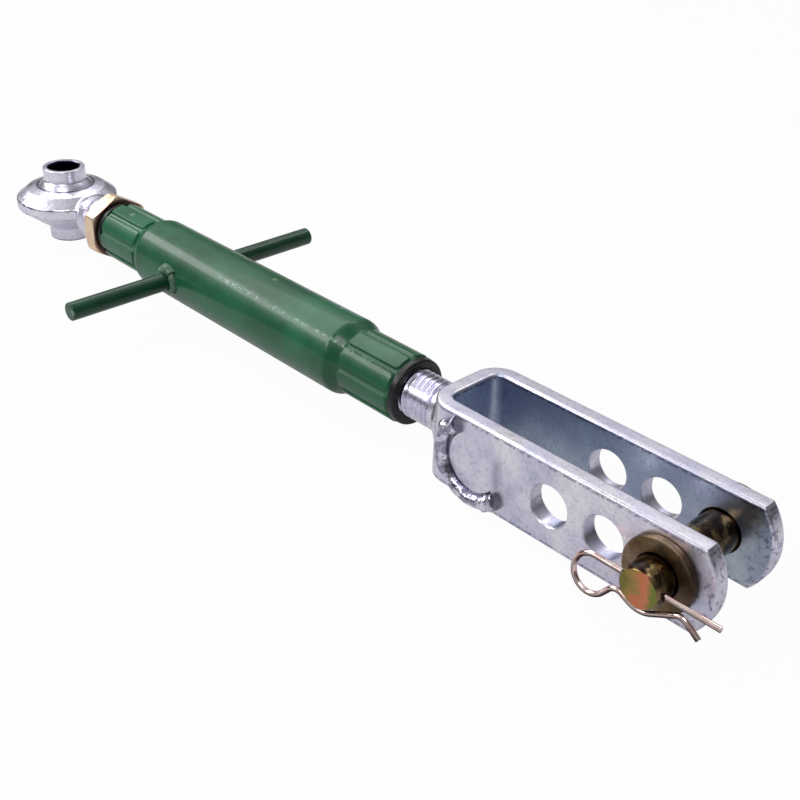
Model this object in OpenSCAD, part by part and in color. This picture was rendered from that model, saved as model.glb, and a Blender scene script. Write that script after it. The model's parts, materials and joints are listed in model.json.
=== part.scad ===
// Three-point lift link: a ball end and a three-hole fork joined by a threaded barrel.
// Millimetres. The origin is the ball's centre, +X runs along the link to the fork,
// +Z along the ball's bore and Y along the fork's pin.

/* [Ball end] */
// Diameter of the hole through the ball
ball_bore_d = 19.3; // [17:0.1:20]
// Diameter of the ball itself
ball_d = 40; // [38:0.5:42]
// Diameter of the two collars on the ball
collar_d = 26; // [25:0.5:27]
// Width of the ball over its collars
ball_w = 46; // [40:0.5:56]
// Chamfer at the mouths of the ball's hole
bore_chamfer = 0.8; // [0.3:0.1:1.2]
// Gap between the ball and its seat
ball_gap = 0.3; // [0.2:0.05:0.4]
// Diameter of the forged eye over its belt
eye_d = 62; // [60:0.5:70]
// Height of the eye between its two lips
eye_h = 23.6; // [20:0.2:24]
// Width of the lip around each mouth of the ball's seat
lip_w = 0.8; // [0.4:0.1:2]
// Diameter at which the eye's top side turns down to the belt
eye_top_d = 48; // [42:0.5:54]
// How far the top side falls from the lip to that turn
eye_fall = 1.8; // [0.6:0.1:3]
// Height of the belt around the eye
belt_h = 5.6; // [3:0.2:9]
// How far the middle of the belt lies above the ball's centre
belt_rise = 1.7; // [0:0.1:2.4]
// Radius of the forging's rounded edges
forging_round = 1.2; // [0.6:0.1:1.6]
// Diameter of the neck between the eye and the shoulder
neck_d = 29; // [26:0.5:32]
// Length over which the neck rises out of the eye's ring
neck_rise = 12; // [8:0.5:15]
// Diameter of the shoulder that stops the locknut
shoulder_d = 35.2; // [34.4:0.1:38]
// Width of the shoulder's round edge
shoulder_w = 2.5; // [1:0.1:5]
// Distance from the ball's centre to the shoulder's face
shoulder_x = 51.9; // [50:0.1:70]

/* [Threads] */
// Thread diameter of both shanks
thread_d = 24; // [20:0.5:26]
// Thread pitch, which is how far each shank moves in one turn
thread_pitch = 3; // [2:0.5:4]
// Turns from fully closed to fully open
open_turns = 20; // [10:1:24]
// Radial clearance between a shank and the threads that it runs in
thread_gap = 0.05; // [0.03:0.01:0.1]
// Length of shank that stays in its bush when the link is fully open
thread_hold = 31; // [24:1:40]

/* [Locknut] */
// Width of the locknut across its flats
nut_af = 36; // [34:0.5:38]
// Thickness of the locknut
nut_t = 11; // [8:0.5:20]
// Gap between the locknut and the faces beside it
nut_gap = 0.3; // [0.2:0.05:0.4]

/* [Barrel] */
// Length of the barrel over its two bushes
barrel_l = 259; // [250:1:320]
// Outside diameter of the tube
tube_d = 40; // [38:0.5:44]
// Wall of the tube
tube_wall = 3; // [2.4:0.1:3.4]
// Diameter of the two necks over their crimped lobes
crimp_d = 34.6; // [34:0.1:36]
// Length of each neck, with the bush's collar
crimp_l = 39.8; // [34:0.1:46]
// Length over which the tube swells from a neck to its full diameter
swell_l = 6.5; // [6:0.5:18]
// Radius of the bends at both ends of that swell
swell_round = 6; // [2:0.5:8]
// Number of lobes that the crimping leaves around each neck
crimp_count = 9; // [4:1:12]
// Height of the lobes over the grooves between them
crimp_depth = 1.3; // [0.6:0.1:1.6]
// Width of the grooves between the lobes
groove_w = 1.6; // [1:0.1:3]
// Angle of a groove on the fork's side, counted from the far side over the top
fork_groove_turn = 88; // [0:1:120]
// Angle of a groove on the ball's side, counted the same way
ball_groove_turn = 83; // [0:1:120]
// How far a bush's collar stands out of the tube
bush_nose = 3.6; // [3:0.1:8]
// Radius of the collar's rounded rim
bush_round = 1.2; // [0.4:0.1:2]
// Length of a bush, with its collar
bush_l = 41; // [38:0.5:60]
// Gap between a bush and the neck around it
bush_gap = 0.06; // [0.04:0.01:0.1]

/* [Handle] */
// Distance from the barrel's ball end to the handle
handle_from_end = 79.7; // [70:0.5:140]
// Diameter of the handle's rods
rod_d = 10; // [8:0.5:14]
// Length of the handle over both tips
handle_l = 161; // [120:1:240]
// Chamfer at each tip of the handle
rod_chamfer = 0.8; // [0.4:0.1:1.5]
// Width of the weld bead around the foot of each rod
handle_weld_w = 3.6; // [2:0.2:5]
// Gap left between welded faces
weld_gap = 0.04; // [0.02:0.01:0.1]

/* [Fork] */
// Length of thread left bare between the barrel and the fork's stud base
thread_show = 17.5; // [6:0.5:30]
// Length of the stud's flared base
flare_l = 9; // [6:0.5:14]
// Diameter of the stud's base where it meets the fork
flare_d = 29; // [28:0.5:30]
// Width of the weld bead around the stud's base
stud_weld_w = 2; // [1:0.2:3]
// Height of the fork's flat strip
strip_h = 40; // [38:0.5:50]
// Thickness of the fork's strip
strip_t = 8; // [6:0.5:10]
// Width of the fork over both arms
fork_w = 47; // [44:0.5:60]
// Inside radius of the fork's two bends
bend_r = 5; // [3:0.5:6]
// Distance from the fork's back to its first hole
first_hole = 72.7; // [64:0.5:90]
// Distance between neighbouring holes
hole_pitch = 27.7; // [26:0.1:34]
// Diameter of the holes through both arms
hole_d = 19.3; // [17:0.1:20]
// Distance from the last hole to the tip of the arms
tip_l = 24; // [20:0.5:30]
// Radius of the arms' rounded tips
tip_r = 30; // [26:0.5:60]
// Diameter of the round spot on the near arm's root
spot_d = 28; // [24:0.5:30]
// Distance from the fork's back to the middle of that spot
spot_from_back = 31; // [28:0.5:36]
// Depth of the groove around the spot
spot_groove = 0.9; // [0.4:0.1:1.4]
// Width of the half ring of weld outside the spot
spot_weld_w = 5; // [3:0.2:6]

/* [Pin, washer and clip] */
// Diameter of the fork's pin
pin_d = 18.4; // [17:0.1:19.2]
// Diameter of the pin's head
head_d = 32; // [28:0.5:38]
// Thickness of the pin's head
head_t = 6; // [4:0.5:9]
// Gap under the pin's head and under the washer
face_gap = 0.3; // [0.2:0.05:0.4]
// Outside diameter of the washer
washer_d = 32.6; // [30:0.2:38]
// Play of the washer on the pin, on the diameter
washer_play = 0.6; // [0.4:0.1:1.2]
// Thickness of the washer
washer_t = 3; // [2:0.2:4]
// Chamfer of the washer's near rim
washer_chamfer = 0.6; // [0.2:0.1:1]
// Distance from the washer to the middle of the pin's cross hole
cross_hole_out = 7.2; // [4:0.2:12]
// Distance from the cross hole to the pin's end
pin_end = 4.4; // [4:0.2:10]
// Chamfer at the pin's end and at its head's rim
pin_chamfer = 1.1; // [0.6:0.1:2]
// Wire diameter of the hairpin clip
wire_d = 2.5; // [2:0.1:3.2]
// Cross hole's clearance over the wire, on the diameter
cross_clear = 0.6; // [0.4:0.1:1]
// Reach of the clip's straight leg past the pin's middle
leg_reach = 33; // [26:0.5:44]
// Radius of the clip's loop, at the middle of the wire
loop_r = 8.3; // [7:0.1:9.5]
// Gap between the pin and the bend of the clip that hugs it
hug_gap = 0.9; // [0.3:0.1:1.5]
// Radius of the clip's two smaller bends, at the middle of the wire
crest_r = 4.6; // [4:0.1:5.4]
// How far the circles of neighbouring bends lie apart, from the loop to the pin
bend_run = 0.6; // [0.2:0.1:1.5]
// The same distance between the hugging bend and the tail's bend
flare_run = 3.5; // [1:0.1:6]
// Length of the clip's flared tail
tail_l = 7.5; // [4:0.5:12]
// How far the clip turns down into its tail, as an angle from +X
tail_turn = 57; // [45:1:65]
// How far the clip leans out from the fork about its straight leg, in degrees
clip_lean = 8; // [0:1:10]

/* [Hidden] */
$fn = 96;

zinc = [0.78, 0.80, 0.86];
green = [0.05, 0.28, 0.13];
brass_zinc = [0.82, 0.66, 0.45];
olive_zinc = [0.50, 0.42, 0.18];
black_oxide = [0.06, 0.07, 0.07];
copper_wire = [0.72, 0.52, 0.42];

// A cutting solid reaches this far past what it cuts
past = 1;

// Places along the link, from the ball's centre
nut_x = shoulder_x + nut_gap;
barrel_x = nut_x + nut_t + nut_gap;
barrel_end_x = barrel_x + barrel_l;
flare_x = barrel_end_x + thread_show;
fork_x = flare_x + flare_l;
last_hole_x = fork_x + first_hole + 2 * hole_pitch;
tip_x = last_hole_x + tip_l;
handle_x = barrel_x + handle_from_end;
spot_x = fork_x + spot_from_back;

// Each shank is long enough to stay in its bush when the link is fully open
shank_reach = thread_pitch * open_turns + thread_hold;

// Radii that several pieces share
seat_r = ball_d / 2 + ball_gap;
thread_r = thread_d / 2;
threaded_bore_r = thread_r + thread_gap;
tube_r = tube_d / 2;
crimp_r = crimp_d / 2;
groove_r = crimp_r - crimp_depth;
bush_r = crimp_r - tube_wall;
rod_r = rod_d / 2;
bend_out_r = bend_r + strip_t;
arm_out = fork_w / 2;
arm_in = arm_out - strip_t;
washer_y = -arm_out - face_gap - washer_t;
cross_y = washer_y - cross_hole_out;
pin_end_y = cross_y - pin_end;

// Turns a solid that stands on Z to lie along X
module along_x(x = 0) {
    translate([x, 0, 0]) rotate([0, 90, 0]) children();
}

// Lays a solid that stands on Z along -Y, towards the near side
module along_near(x = 0, y = 0) {
    translate([x, y, 0]) rotate([90, 0, 0]) children();
}

// Arc of radius r in the corner at b, between its neighbours a and c
function unit(v) = v / norm(v);
function corner_arc(a, b, c, r) = let (
        u = unit(a - b), v = unit(c - b), half = acos(u * v) / 2,
        mid = b + unit(u + v) * r / sin(half),
        from = b + u * r / tan(half) - mid,
        to = b + v * r / tan(half) - mid
    ) [for (t = [0 : 0.25 : 1]) mid + r * unit(from * (1 - t) + to * t)];
// The outline with each corner rounded by its own radius, where 0 stays sharp
function rounded(points, radii) = let (n = len(points)) [
    for (i = [0 : n - 1])
        each (radii[i] == 0 ? [points[i]]
            : corner_arc(points[(i + n - 1) % n], points[i], points[(i + 1) % n], radii[i]))
];

module ball() {
    body_r = ball_d / 2;
    color(zinc) difference() {
        union() {
            intersection() {
                sphere(r = body_r);
                cube([ball_d + past, ball_d + past, ball_w - 2 * past], center = true);
            }
            rotate_extrude() polygon([
                [0, -ball_w / 2], [collar_d / 2 - bore_chamfer, -ball_w / 2],
                [collar_d / 2, -ball_w / 2 + bore_chamfer],
                [collar_d / 2, ball_w / 2 - bore_chamfer],
                [collar_d / 2 - bore_chamfer, ball_w / 2], [0, ball_w / 2]
            ]);
        }
        cylinder(d = ball_bore_d, h = ball_w + 2 * past, center = true);
        for (side = [0, 1])
            mirror([0, 0, side])
                translate([0, 0, ball_w / 2 - bore_chamfer])
                    cylinder(r1 = ball_bore_d / 2, r2 = ball_bore_d / 2 + bore_chamfer + past / 2,
                             h = bore_chamfer + past / 2);
    }
}

// Section of the forged ring: lips, a top side that falls to the belt, and a cone below it
module eye_section() {
    lip_r = sqrt(pow(seat_r, 2) - pow(eye_h / 2, 2)) + lip_w;
    edge = forging_round;
    polygon(rounded([
        [0, -eye_h / 2], [lip_r, -eye_h / 2], [eye_d / 2, belt_rise - belt_h / 2],
        [eye_d / 2, belt_rise + belt_h / 2], [eye_top_d / 2, eye_h / 2 - eye_fall],
        [lip_r, eye_h / 2], [0, eye_h / 2]
    ], [0, 0, edge, edge, edge * 2, 0, 0]));
}

// Section of the neck, which starts inside the ring and flares to the shoulder
module neck_section() {
    neck_x = eye_top_d / 2;
    flare = shoulder_d / 2 - neck_d / 2;
    polygon(rounded([
        [0, neck_x], [eye_h / 2 - eye_fall - past, neck_x], [neck_d / 2, neck_x + neck_rise],
        [neck_d / 2, shoulder_x - shoulder_w - 2 * flare], [shoulder_d / 2, shoulder_x - shoulder_w],
        [shoulder_d / 2, shoulder_x], [0, shoulder_x]
    ], [0, 0, forging_round * 3, forging_round * 2, forging_round / 2, forging_round / 2, 0]));
}

// The seat is hollowed as a sphere, so that the ball can tilt in it
module eye_end() {
    shank_end = barrel_x + shank_reach;
    color(zinc) difference() {
        union() {
            rotate_extrude() eye_section();
            along_x() rotate_extrude() neck_section();
            along_x(shoulder_x - past) cylinder(r = thread_r, h = shank_end - shoulder_x + past);
        }
        sphere(r = seat_r);
    }
}

module locknut() {
    corner_r = nut_af / sqrt(3);
    bevel = corner_r - nut_af / 2;
    color(brass_zinc) along_x(nut_x) difference() {
        intersection() {
            cylinder(r = corner_r, h = nut_t, $fn = 6);
            rotate_extrude() polygon([
                [0, 0], [nut_af / 2, 0], [corner_r, bevel / 2],
                [corner_r, nut_t - bevel / 2], [nut_af / 2, nut_t], [0, nut_t]
            ]);
        }
        translate([0, 0, -past]) cylinder(r = threaded_bore_r, h = nut_t + 2 * past);
    }
}

// A threaded bush held in the neck, with a rounded collar outside the tube
module bush() {
    nose_r = crimp_r - crimp_depth / 2;
    held_r = bush_r - bush_gap;
    color(black_oxide) difference() {
        rotate_extrude() polygon(rounded([
            [0, 0], [nose_r, 0], [nose_r, bush_nose], [held_r, bush_nose], [held_r, bush_l], [0, bush_l]
        ], [0, bush_round, 0, 0, 0, 0]));
        translate([0, 0, -past]) cylinder(r = threaded_bore_r, h = bush_l + 2 * past);
    }
}

module ball_side_bush() {
    along_x(barrel_x) bush();
}

module fork_side_bush() {
    along_x(barrel_end_x) mirror([0, 0, 1]) bush();
}

// Places on half the barrel, measured from its middle along Z
neck_at = barrel_l / 2 - crimp_l;
tube_end = barrel_l / 2 - bush_nose - bush_gap;

// Outside or inside of the whole barrel, which necks down towards both ends
module barrel_outline(r_tube, r_neck, end) {
    polygon(rounded([
        [0, -end], [r_neck, -end], [r_neck, -neck_at], [r_tube, -neck_at + swell_l],
        [r_tube, neck_at - swell_l], [r_neck, neck_at], [r_neck, end], [0, end]
    ], [0, 0, swell_round, swell_round, swell_round, swell_round, 0, 0]));
}

// The lobes that the crimping leaves between its grooves, around the neck at +Z
module crimp_lobes(groove_turn) {
    groove_angle = 2 * asin(groove_w / (2 * crimp_r));
    lobe_end = tube_end - crimp_depth / 2;
    bevel = crimp_depth * 0.6;
    for (i = [0 : crimp_count - 1])
        rotate([0, 0, groove_turn + 90 + groove_angle / 2 + i * 360 / crimp_count])
            rotate_extrude(angle = 360 / crimp_count - groove_angle) polygon([
                [groove_r - past, neck_at], [crimp_r - bevel, neck_at], [crimp_r, neck_at + bevel],
                [crimp_r, lobe_end - bevel], [crimp_r - bevel, lobe_end], [groove_r - past, lobe_end]
            ]);
}

module barrel_tube() {
    color(green) along_x(barrel_x + barrel_l / 2) difference() {
        union() {
            rotate_extrude() barrel_outline(tube_r, groove_r, tube_end);
            crimp_lobes(fork_groove_turn);
            mirror([0, 0, 1]) crimp_lobes(ball_groove_turn);
        }
        rotate_extrude() barrel_outline(tube_r - tube_wall, bush_r, tube_end + past);
    }
}

// A rod whose foot is shaped to the tube that it is welded to
module handle_rod() {
    tip = handle_l / 2;
    color(green) difference() {
        union() {
            along_near(handle_x) cylinder(r = rod_r, h = tip - rod_chamfer);
            along_near(handle_x, -tip + rod_chamfer)
                cylinder(r1 = rod_r, r2 = rod_r - rod_chamfer, h = rod_chamfer);
        }
        along_x(handle_x - rod_d) cylinder(r = tube_r + weld_gap, h = 2 * rod_d);
    }
}

module handle_weld() {
    foot_r = rod_r + handle_weld_w;
    bead_h = tube_r + handle_weld_w * 0.8;
    color(green) difference() {
        along_near(handle_x) {
            cylinder(r = foot_r, h = tube_r);
            translate([0, 0, tube_r]) cylinder(r1 = foot_r, r2 = rod_r + weld_gap, h = bead_h - tube_r);
        }
        along_x(handle_x - rod_d * 2) cylinder(r = tube_r + weld_gap, h = 4 * rod_d);
        along_near(handle_x) cylinder(r = rod_r + weld_gap, h = bead_h + past);
    }
}

module handle_rod_near() { handle_rod(); }
module handle_rod_far() { mirror([0, 1, 0]) handle_rod(); }
module handle_weld_near() { handle_weld(); }
module handle_weld_far() { mirror([0, 1, 0]) handle_weld(); }

// The threaded stud swells to a round foot that is welded to the fork's back
module fork_stud() {
    stud_end = barrel_end_x - shank_reach;
    color(zinc) along_x() rotate_extrude() polygon([
        [0, stud_end], [thread_r - past, stud_end], [thread_r, stud_end + past],
        [thread_r, flare_x], [flare_d / 2 - past, fork_x - flare_l * 0.35],
        [flare_d / 2, fork_x - flare_l * 0.2], [flare_d / 2, fork_x], [0, fork_x]
    ]);
}

module stud_weld() {
    foot = flare_d / 2 + weld_gap;
    color(zinc) along_x() rotate_extrude() polygon([
        [foot, fork_x - stud_weld_w], [foot + stud_weld_w * 0.7, fork_x - stud_weld_w * 0.7],
        [foot + stud_weld_w, fork_x], [foot, fork_x]
    ]);
}

// Plan of a U with rounded bends, whose inside is the same shape one strip thickness in
module u_plan(back, half, corner) {
    translate([back + corner, -half]) square([tip_x - back, 2 * half]);
    translate([back, -half + corner]) square([corner + past, 2 * (half - corner)]);
    for (side = [-1, 1])
        translate([back + corner, side * (half - corner)]) circle(r = corner);
}

module fork_blank() {
    corner_x = tip_x - tip_r + sqrt(pow(tip_r, 2) - pow(strip_h / 2, 2));
    intersection() {
        linear_extrude(height = strip_h, center = true) difference() {
            u_plan(fork_x, arm_out, bend_out_r);
            u_plan(fork_x + strip_t, arm_in, bend_r);
        }
        along_near(0, fork_w) union() {
            translate([tip_x - tip_r, 0, 0]) cylinder(r = tip_r, h = 2 * fork_w);
            translate([fork_x, -strip_h / 2, 0]) cube([corner_x - fork_x, strip_h, 2 * fork_w]);
        }
    }
}

module fork() {
    color(zinc) difference() {
        fork_blank();
        for (i = [0 : 2])
            along_near(last_hole_x - i * hole_pitch, arm_out + past)
                cylinder(d = hole_d, h = fork_w + 2 * past);
        along_near(spot_x, -arm_out) rotate([0, 0, 130])
            rotate_extrude(angle = 190)
                translate([spot_d / 2 + spot_groove, 0]) circle(r = spot_groove, $fn = 24);
    }
}

// Half a ring of weld around the spot, with a thick start and end
module root_weld() {
    bead_r = spot_d / 2 + 2 * spot_groove + spot_weld_w / 2;
    color(zinc) difference() {
        along_near(spot_x, -arm_out) {
            rotate([0, 0, 135]) rotate_extrude(angle = 180)
                translate([bead_r, 0]) circle(r = spot_weld_w / 2 - weld_gap, $fn = 32);
            for (turn = [135, 315])
                rotate([0, 0, turn]) translate([bead_r - 1, 0, 0])
                    sphere(r = spot_weld_w / 2 + 0.6, $fn = 32);
        }
        linear_extrude(height = strip_h + 2 * past, center = true)
            u_plan(fork_x - weld_gap, arm_out + weld_gap, bend_out_r);
    }
}

module fork_pin() {
    head_y = arm_out + face_gap;
    color(olive_zinc) difference() {
        union() {
            along_near(last_hole_x, head_y + head_t) {
                cylinder(d1 = head_d - 2 * pin_chamfer, d2 = head_d, h = pin_chamfer);
                translate([0, 0, pin_chamfer]) cylinder(d = head_d, h = head_t - pin_chamfer);
            }
            along_near(last_hole_x, head_y) cylinder(d = pin_d, h = head_y - pin_end_y - pin_chamfer);
            along_near(last_hole_x, pin_end_y + pin_chamfer)
                cylinder(d1 = pin_d, d2 = pin_d - 2 * pin_chamfer, h = pin_chamfer);
        }
        translate([0, cross_y, 0])
            along_x(last_hole_x - pin_d) cylinder(d = wire_d + cross_clear, h = 2 * pin_d);
    }
}

module washer() {
    color(olive_zinc) along_near(last_hole_x, washer_y + washer_t) difference() {
        union() {
            cylinder(d = washer_d, h = washer_t - washer_chamfer);
            translate([0, 0, washer_t - washer_chamfer])
                cylinder(d1 = washer_d, d2 = washer_d - 2 * washer_chamfer, h = washer_chamfer);
        }
        translate([0, 0, -past]) cylinder(d = pin_d + washer_play, h = washer_t + 2 * past);
    }
}

// The clip lies in a plane through the cross hole. Its points are [x, z] from the pin's middle.
// Directions from there to the small bends before and after the one that hugs the pin
rise_at = 232;
flare_at = 333;
function turn_of(v) = atan2(v[1], v[0]);
function on_circle(c, r, a) = c + r * [cos(a), sin(a)];
// Direction from one bend's centre to where the run that crosses over to the next bend leaves it
function cross_tangent(c1, r1, c2, r2, side) =
    turn_of(c2 - c1) + side * acos((r1 + r2) / norm(c2 - c1));
function bend_points(c, r, from, to) = let (n = ceil(abs(to - from) / 20))
    [for (i = [0 : n]) on_circle(c, r, from + (to - from) * i / n)];

// Round wire along a path that lies in the plane of X and Z
module wire(path, sides = 10) {
    last = len(path) - 1;
    rings = [for (i = [0 : last])
        let (v = path[min(i + 1, last)] - path[max(i - 1, 0)], side = [-v[1], v[0]] / norm(v))
        for (k = [0 : sides - 1])
            let (a = 360 * k / sides, out = wire_d / 2 * cos(a), up = wire_d / 2 * sin(a))
            [path[i][0] + out * side[0], up, path[i][1] + out * side[1]]];
    sides_faces = [for (i = [0 : last - 1], k = [0 : sides - 1])
        let (n = (k + 1) % sides, at = i * sides)
        [at + k, at + sides + k, at + sides + n, at + n]];
    polyhedron(rings, concat(
        sides_faces,
        [[for (k = [0 : sides - 1]) k]],
        [[for (k = [sides - 1 : -1 : 0]) last * sides + k]]
    ));
}

module hairpin_clip() {
    hug_r = pin_d / 2 + wire_d / 2 + hug_gap;
    rise_c = on_circle([0, 0], hug_r + crest_r + bend_run, rise_at);
    flare_c = on_circle([0, 0], hug_r + crest_r + flare_run, flare_at);
    loop_to_rise = sqrt(pow(loop_r + crest_r + bend_run, 2) - pow(rise_c[1] + loop_r, 2));
    loop_c = [rise_c[0] - loop_to_rise, -loop_r];
    // Each angle is where one bend ends and the run to the next one starts
    loop_out = cross_tangent(loop_c, loop_r, rise_c, crest_r, -1);
    hug_in = cross_tangent(rise_c, crest_r, [0, 0], hug_r, 1);
    hug_out = cross_tangent([0, 0], hug_r, flare_c, crest_r, -1);
    tip = on_circle(flare_c, crest_r, tail_turn) + tail_l * [sin(tail_turn), -cos(tail_turn)];
    color(copper_wire) translate([last_hole_x, cross_y, 0]) rotate([-clip_lean, 0, 0]) wire(concat(
        [[leg_reach, 0], [0, 0]],
        bend_points(loop_c, loop_r, 90, 360 + loop_out),
        bend_points(rise_c, crest_r, loop_out + 180, hug_in),
        bend_points([0, 0], hug_r, hug_in + 180, 360 + hug_out),
        bend_points(flare_c, crest_r, hug_out + 180, tail_turn),
        [tip]
    ));
}

ball();
eye_end();
locknut();
ball_side_bush();
barrel_tube();
fork_side_bush();
handle_rod_near();
handle_rod_far();
handle_weld_near();
handle_weld_far();
fork_stud();
stud_weld();
fork();
root_weld();
fork_pin();
washer();
hairpin_clip();
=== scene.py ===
# %% [markdown]
# # A three-point lift link, piece by piece
# This link holds an implement's lift arm at a set height. A ball end and a forked end are
# screwed into a green barrel with threads of opposite hand, so turning the barrel by its
# cross handle makes the whole link longer or shorter. The engineering model is loaded first
# and never changes: it says where each piece is. Every cell after it makes one piece or one
# finish, as a maker would, and puts it where the engineering model says.

# %% Load the engineering model as a fixed frame
import json
import math

import bmesh
import bpy
from mathutils import Matrix, Vector

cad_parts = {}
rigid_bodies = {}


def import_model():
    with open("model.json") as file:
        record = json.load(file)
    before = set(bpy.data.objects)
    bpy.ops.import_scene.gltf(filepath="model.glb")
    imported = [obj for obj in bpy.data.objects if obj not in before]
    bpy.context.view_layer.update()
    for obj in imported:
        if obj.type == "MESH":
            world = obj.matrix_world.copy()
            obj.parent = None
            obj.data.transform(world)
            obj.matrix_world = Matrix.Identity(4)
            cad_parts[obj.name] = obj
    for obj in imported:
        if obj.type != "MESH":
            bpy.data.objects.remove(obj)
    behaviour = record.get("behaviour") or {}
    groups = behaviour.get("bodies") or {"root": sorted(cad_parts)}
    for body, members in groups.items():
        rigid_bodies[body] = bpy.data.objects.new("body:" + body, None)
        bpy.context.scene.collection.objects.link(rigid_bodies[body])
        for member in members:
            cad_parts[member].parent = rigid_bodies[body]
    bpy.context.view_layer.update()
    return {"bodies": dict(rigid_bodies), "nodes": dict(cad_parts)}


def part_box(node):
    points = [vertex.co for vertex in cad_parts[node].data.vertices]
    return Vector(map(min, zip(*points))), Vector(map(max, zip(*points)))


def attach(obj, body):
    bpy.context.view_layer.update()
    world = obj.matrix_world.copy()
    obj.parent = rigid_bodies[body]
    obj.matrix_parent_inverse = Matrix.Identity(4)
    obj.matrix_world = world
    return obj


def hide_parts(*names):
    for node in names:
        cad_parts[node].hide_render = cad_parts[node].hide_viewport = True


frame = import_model()
MM = 0.001
print("bodies:", ", ".join(frame["bodies"]))

# %% [markdown]
# ## Where things are
# Every length below is read from the engineering model, so a piece can't drift away from
# the solid that carries it. Only the sizes that the solids' boxes don't show are written as
# numbers. X runs along the link from the ball to the fork, and Y along the fork's pin.


# %% Read places along the link
def span(node, side):
    """Lowest and highest place of a solid along X, Y or Z, in mm."""
    low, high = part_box(node)
    return low[side] / MM, high[side] / MM


BALL_HALF_W = span("ball", 2)[1]
EYE_R = -span("eye_end", 0)[0]
EYE_SHANK_END = span("eye_end", 0)[1]
NUT_FROM, NUT_TO = span("locknut", 0)
BARREL_FROM, BARREL_TO = span("ball_side_bush", 0)[0], span("fork_side_bush", 0)[1]
TUBE_FROM, TUBE_TO = span("barrel_tube", 0)
TUBE_R = span("barrel_tube", 2)[1]
HANDLE_X = sum(span("handle_rod_near", 0)) / 2
ROD_R = span("handle_rod_near", 2)[1]
HANDLE_TIP = -span("handle_rod_near", 1)[0]
STUD_FROM, FORK_FROM = span("fork_stud", 0)
FORK_TO = span("fork", 0)[1]
ARM_OUT = span("fork", 1)[1]
STRIP_HALF_H = span("fork", 2)[1]
PIN_X = sum(span("fork_pin", 0)) / 2
PIN_END, PIN_HEAD = span("fork_pin", 1)
HEAD_R = span("fork_pin", 2)[1]
WASHER_Y = span("washer", 1)
WASHER_R = span("washer", 2)[1]

EYE_HALF_H, LIP_R = 11.8, 17.3
BELT_TOP, BELT_LOW = 4.5, -1.1
THREAD_R, PITCH = 12.0, 3.0
HOLE_R, HOLE_PITCH = 9.65, 27.7
STRIP_T, BEND_IN_R = 8.0, 5.0
SPOT_X, GROOVE_R = FORK_FROM + 31, 14.9
PIN_R, CLIP_Y = 9.2, PIN_END + 4.4
print(f"barrel from {BARREL_FROM:.1f} to {BARREL_TO:.1f}, fork from {FORK_FROM:.1f} to {FORK_TO:.1f} mm")

# %% [markdown]
# ## Camera
# The place and angle of the camera come from matching known edges of the link with the
# picture that it is compared with. A camera looks along its own -Z, so its matrix is built
# from the direction of view, the picture's right and the picture's up. Writing it from
# three angles keeps it readable: where it looks on the compass, how far down, and its roll.

# %% Set the camera
CAMERA_AT = Vector((0.646695, -0.331074, 0.272282))
TURNED_LEFT, LOOKS_DOWN, ROLL = 0.793, 0.538, 0.034
LENS_MM = 51.395

view_from = Vector((
    -math.sin(TURNED_LEFT) * math.cos(LOOKS_DOWN),
    math.cos(TURNED_LEFT) * math.cos(LOOKS_DOWN),
    -math.sin(LOOKS_DOWN),
))
level_right = view_from.cross(Vector((0, 0, 1))).normalized()
level_up = level_right.cross(view_from)
picture_right = math.cos(ROLL) * level_right + math.sin(ROLL) * level_up
picture_up = -math.sin(ROLL) * level_right + math.cos(ROLL) * level_up

camera = bpy.data.objects.new("camera", bpy.data.cameras.new("camera"))
bpy.context.scene.collection.objects.link(camera)
bpy.context.scene.camera = camera
camera.data.lens = LENS_MM
camera.data.sensor_width = 36
turned = Matrix((picture_right, picture_up, -view_from)).transposed().to_4x4()
camera.matrix_world = Matrix.Translation(CAMERA_AT) @ turned
print("camera looks along", [round(c, 3) for c in view_from])

# %% [markdown]
# ## Formulas made of nodes
# A shader and a Geometry Nodes tree are both nodes joined by links. Written link by link, a
# formula is hard to read. So a node's output is wrapped in a class that knows plus, minus and
# times: the script writes a formula, and each sign in it becomes one Math node in the tree.


# %% Outputs that can be added and multiplied
class Signal:
    """A node's output. A formula with signals adds Math nodes to their tree."""

    def __init__(self, wiring, socket):
        self.wiring = wiring
        self.socket = socket

    def __add__(self, other):
        return self.wiring.math("ADD", self, other)

    def __sub__(self, other):
        return self.wiring.math("SUBTRACT", self, other)

    def __rsub__(self, other):
        return self.wiring.math("SUBTRACT", other, self)

    def __mul__(self, other):
        return self.wiring.math("MULTIPLY", self, other)

    def __truediv__(self, other):
        return self.wiring.math("DIVIDE", self, other)

    def __rtruediv__(self, other):
        return self.wiring.math("DIVIDE", other, self)

    def __abs__(self):
        return self.wiring.math("ABSOLUTE", self)

    __radd__ = __add__
    __rmul__ = __mul__


print("a node's output is a Signal")

# %% [markdown]
# ## Wiring nodes from a script
# The helper adds a node, sets it up, fills its inputs with numbers or with other nodes'
# outputs, and hands back its output. Finishes and shapes share it, and the few formulas that
# both need, such as a smooth step from one place to another, are written here once.


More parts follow.
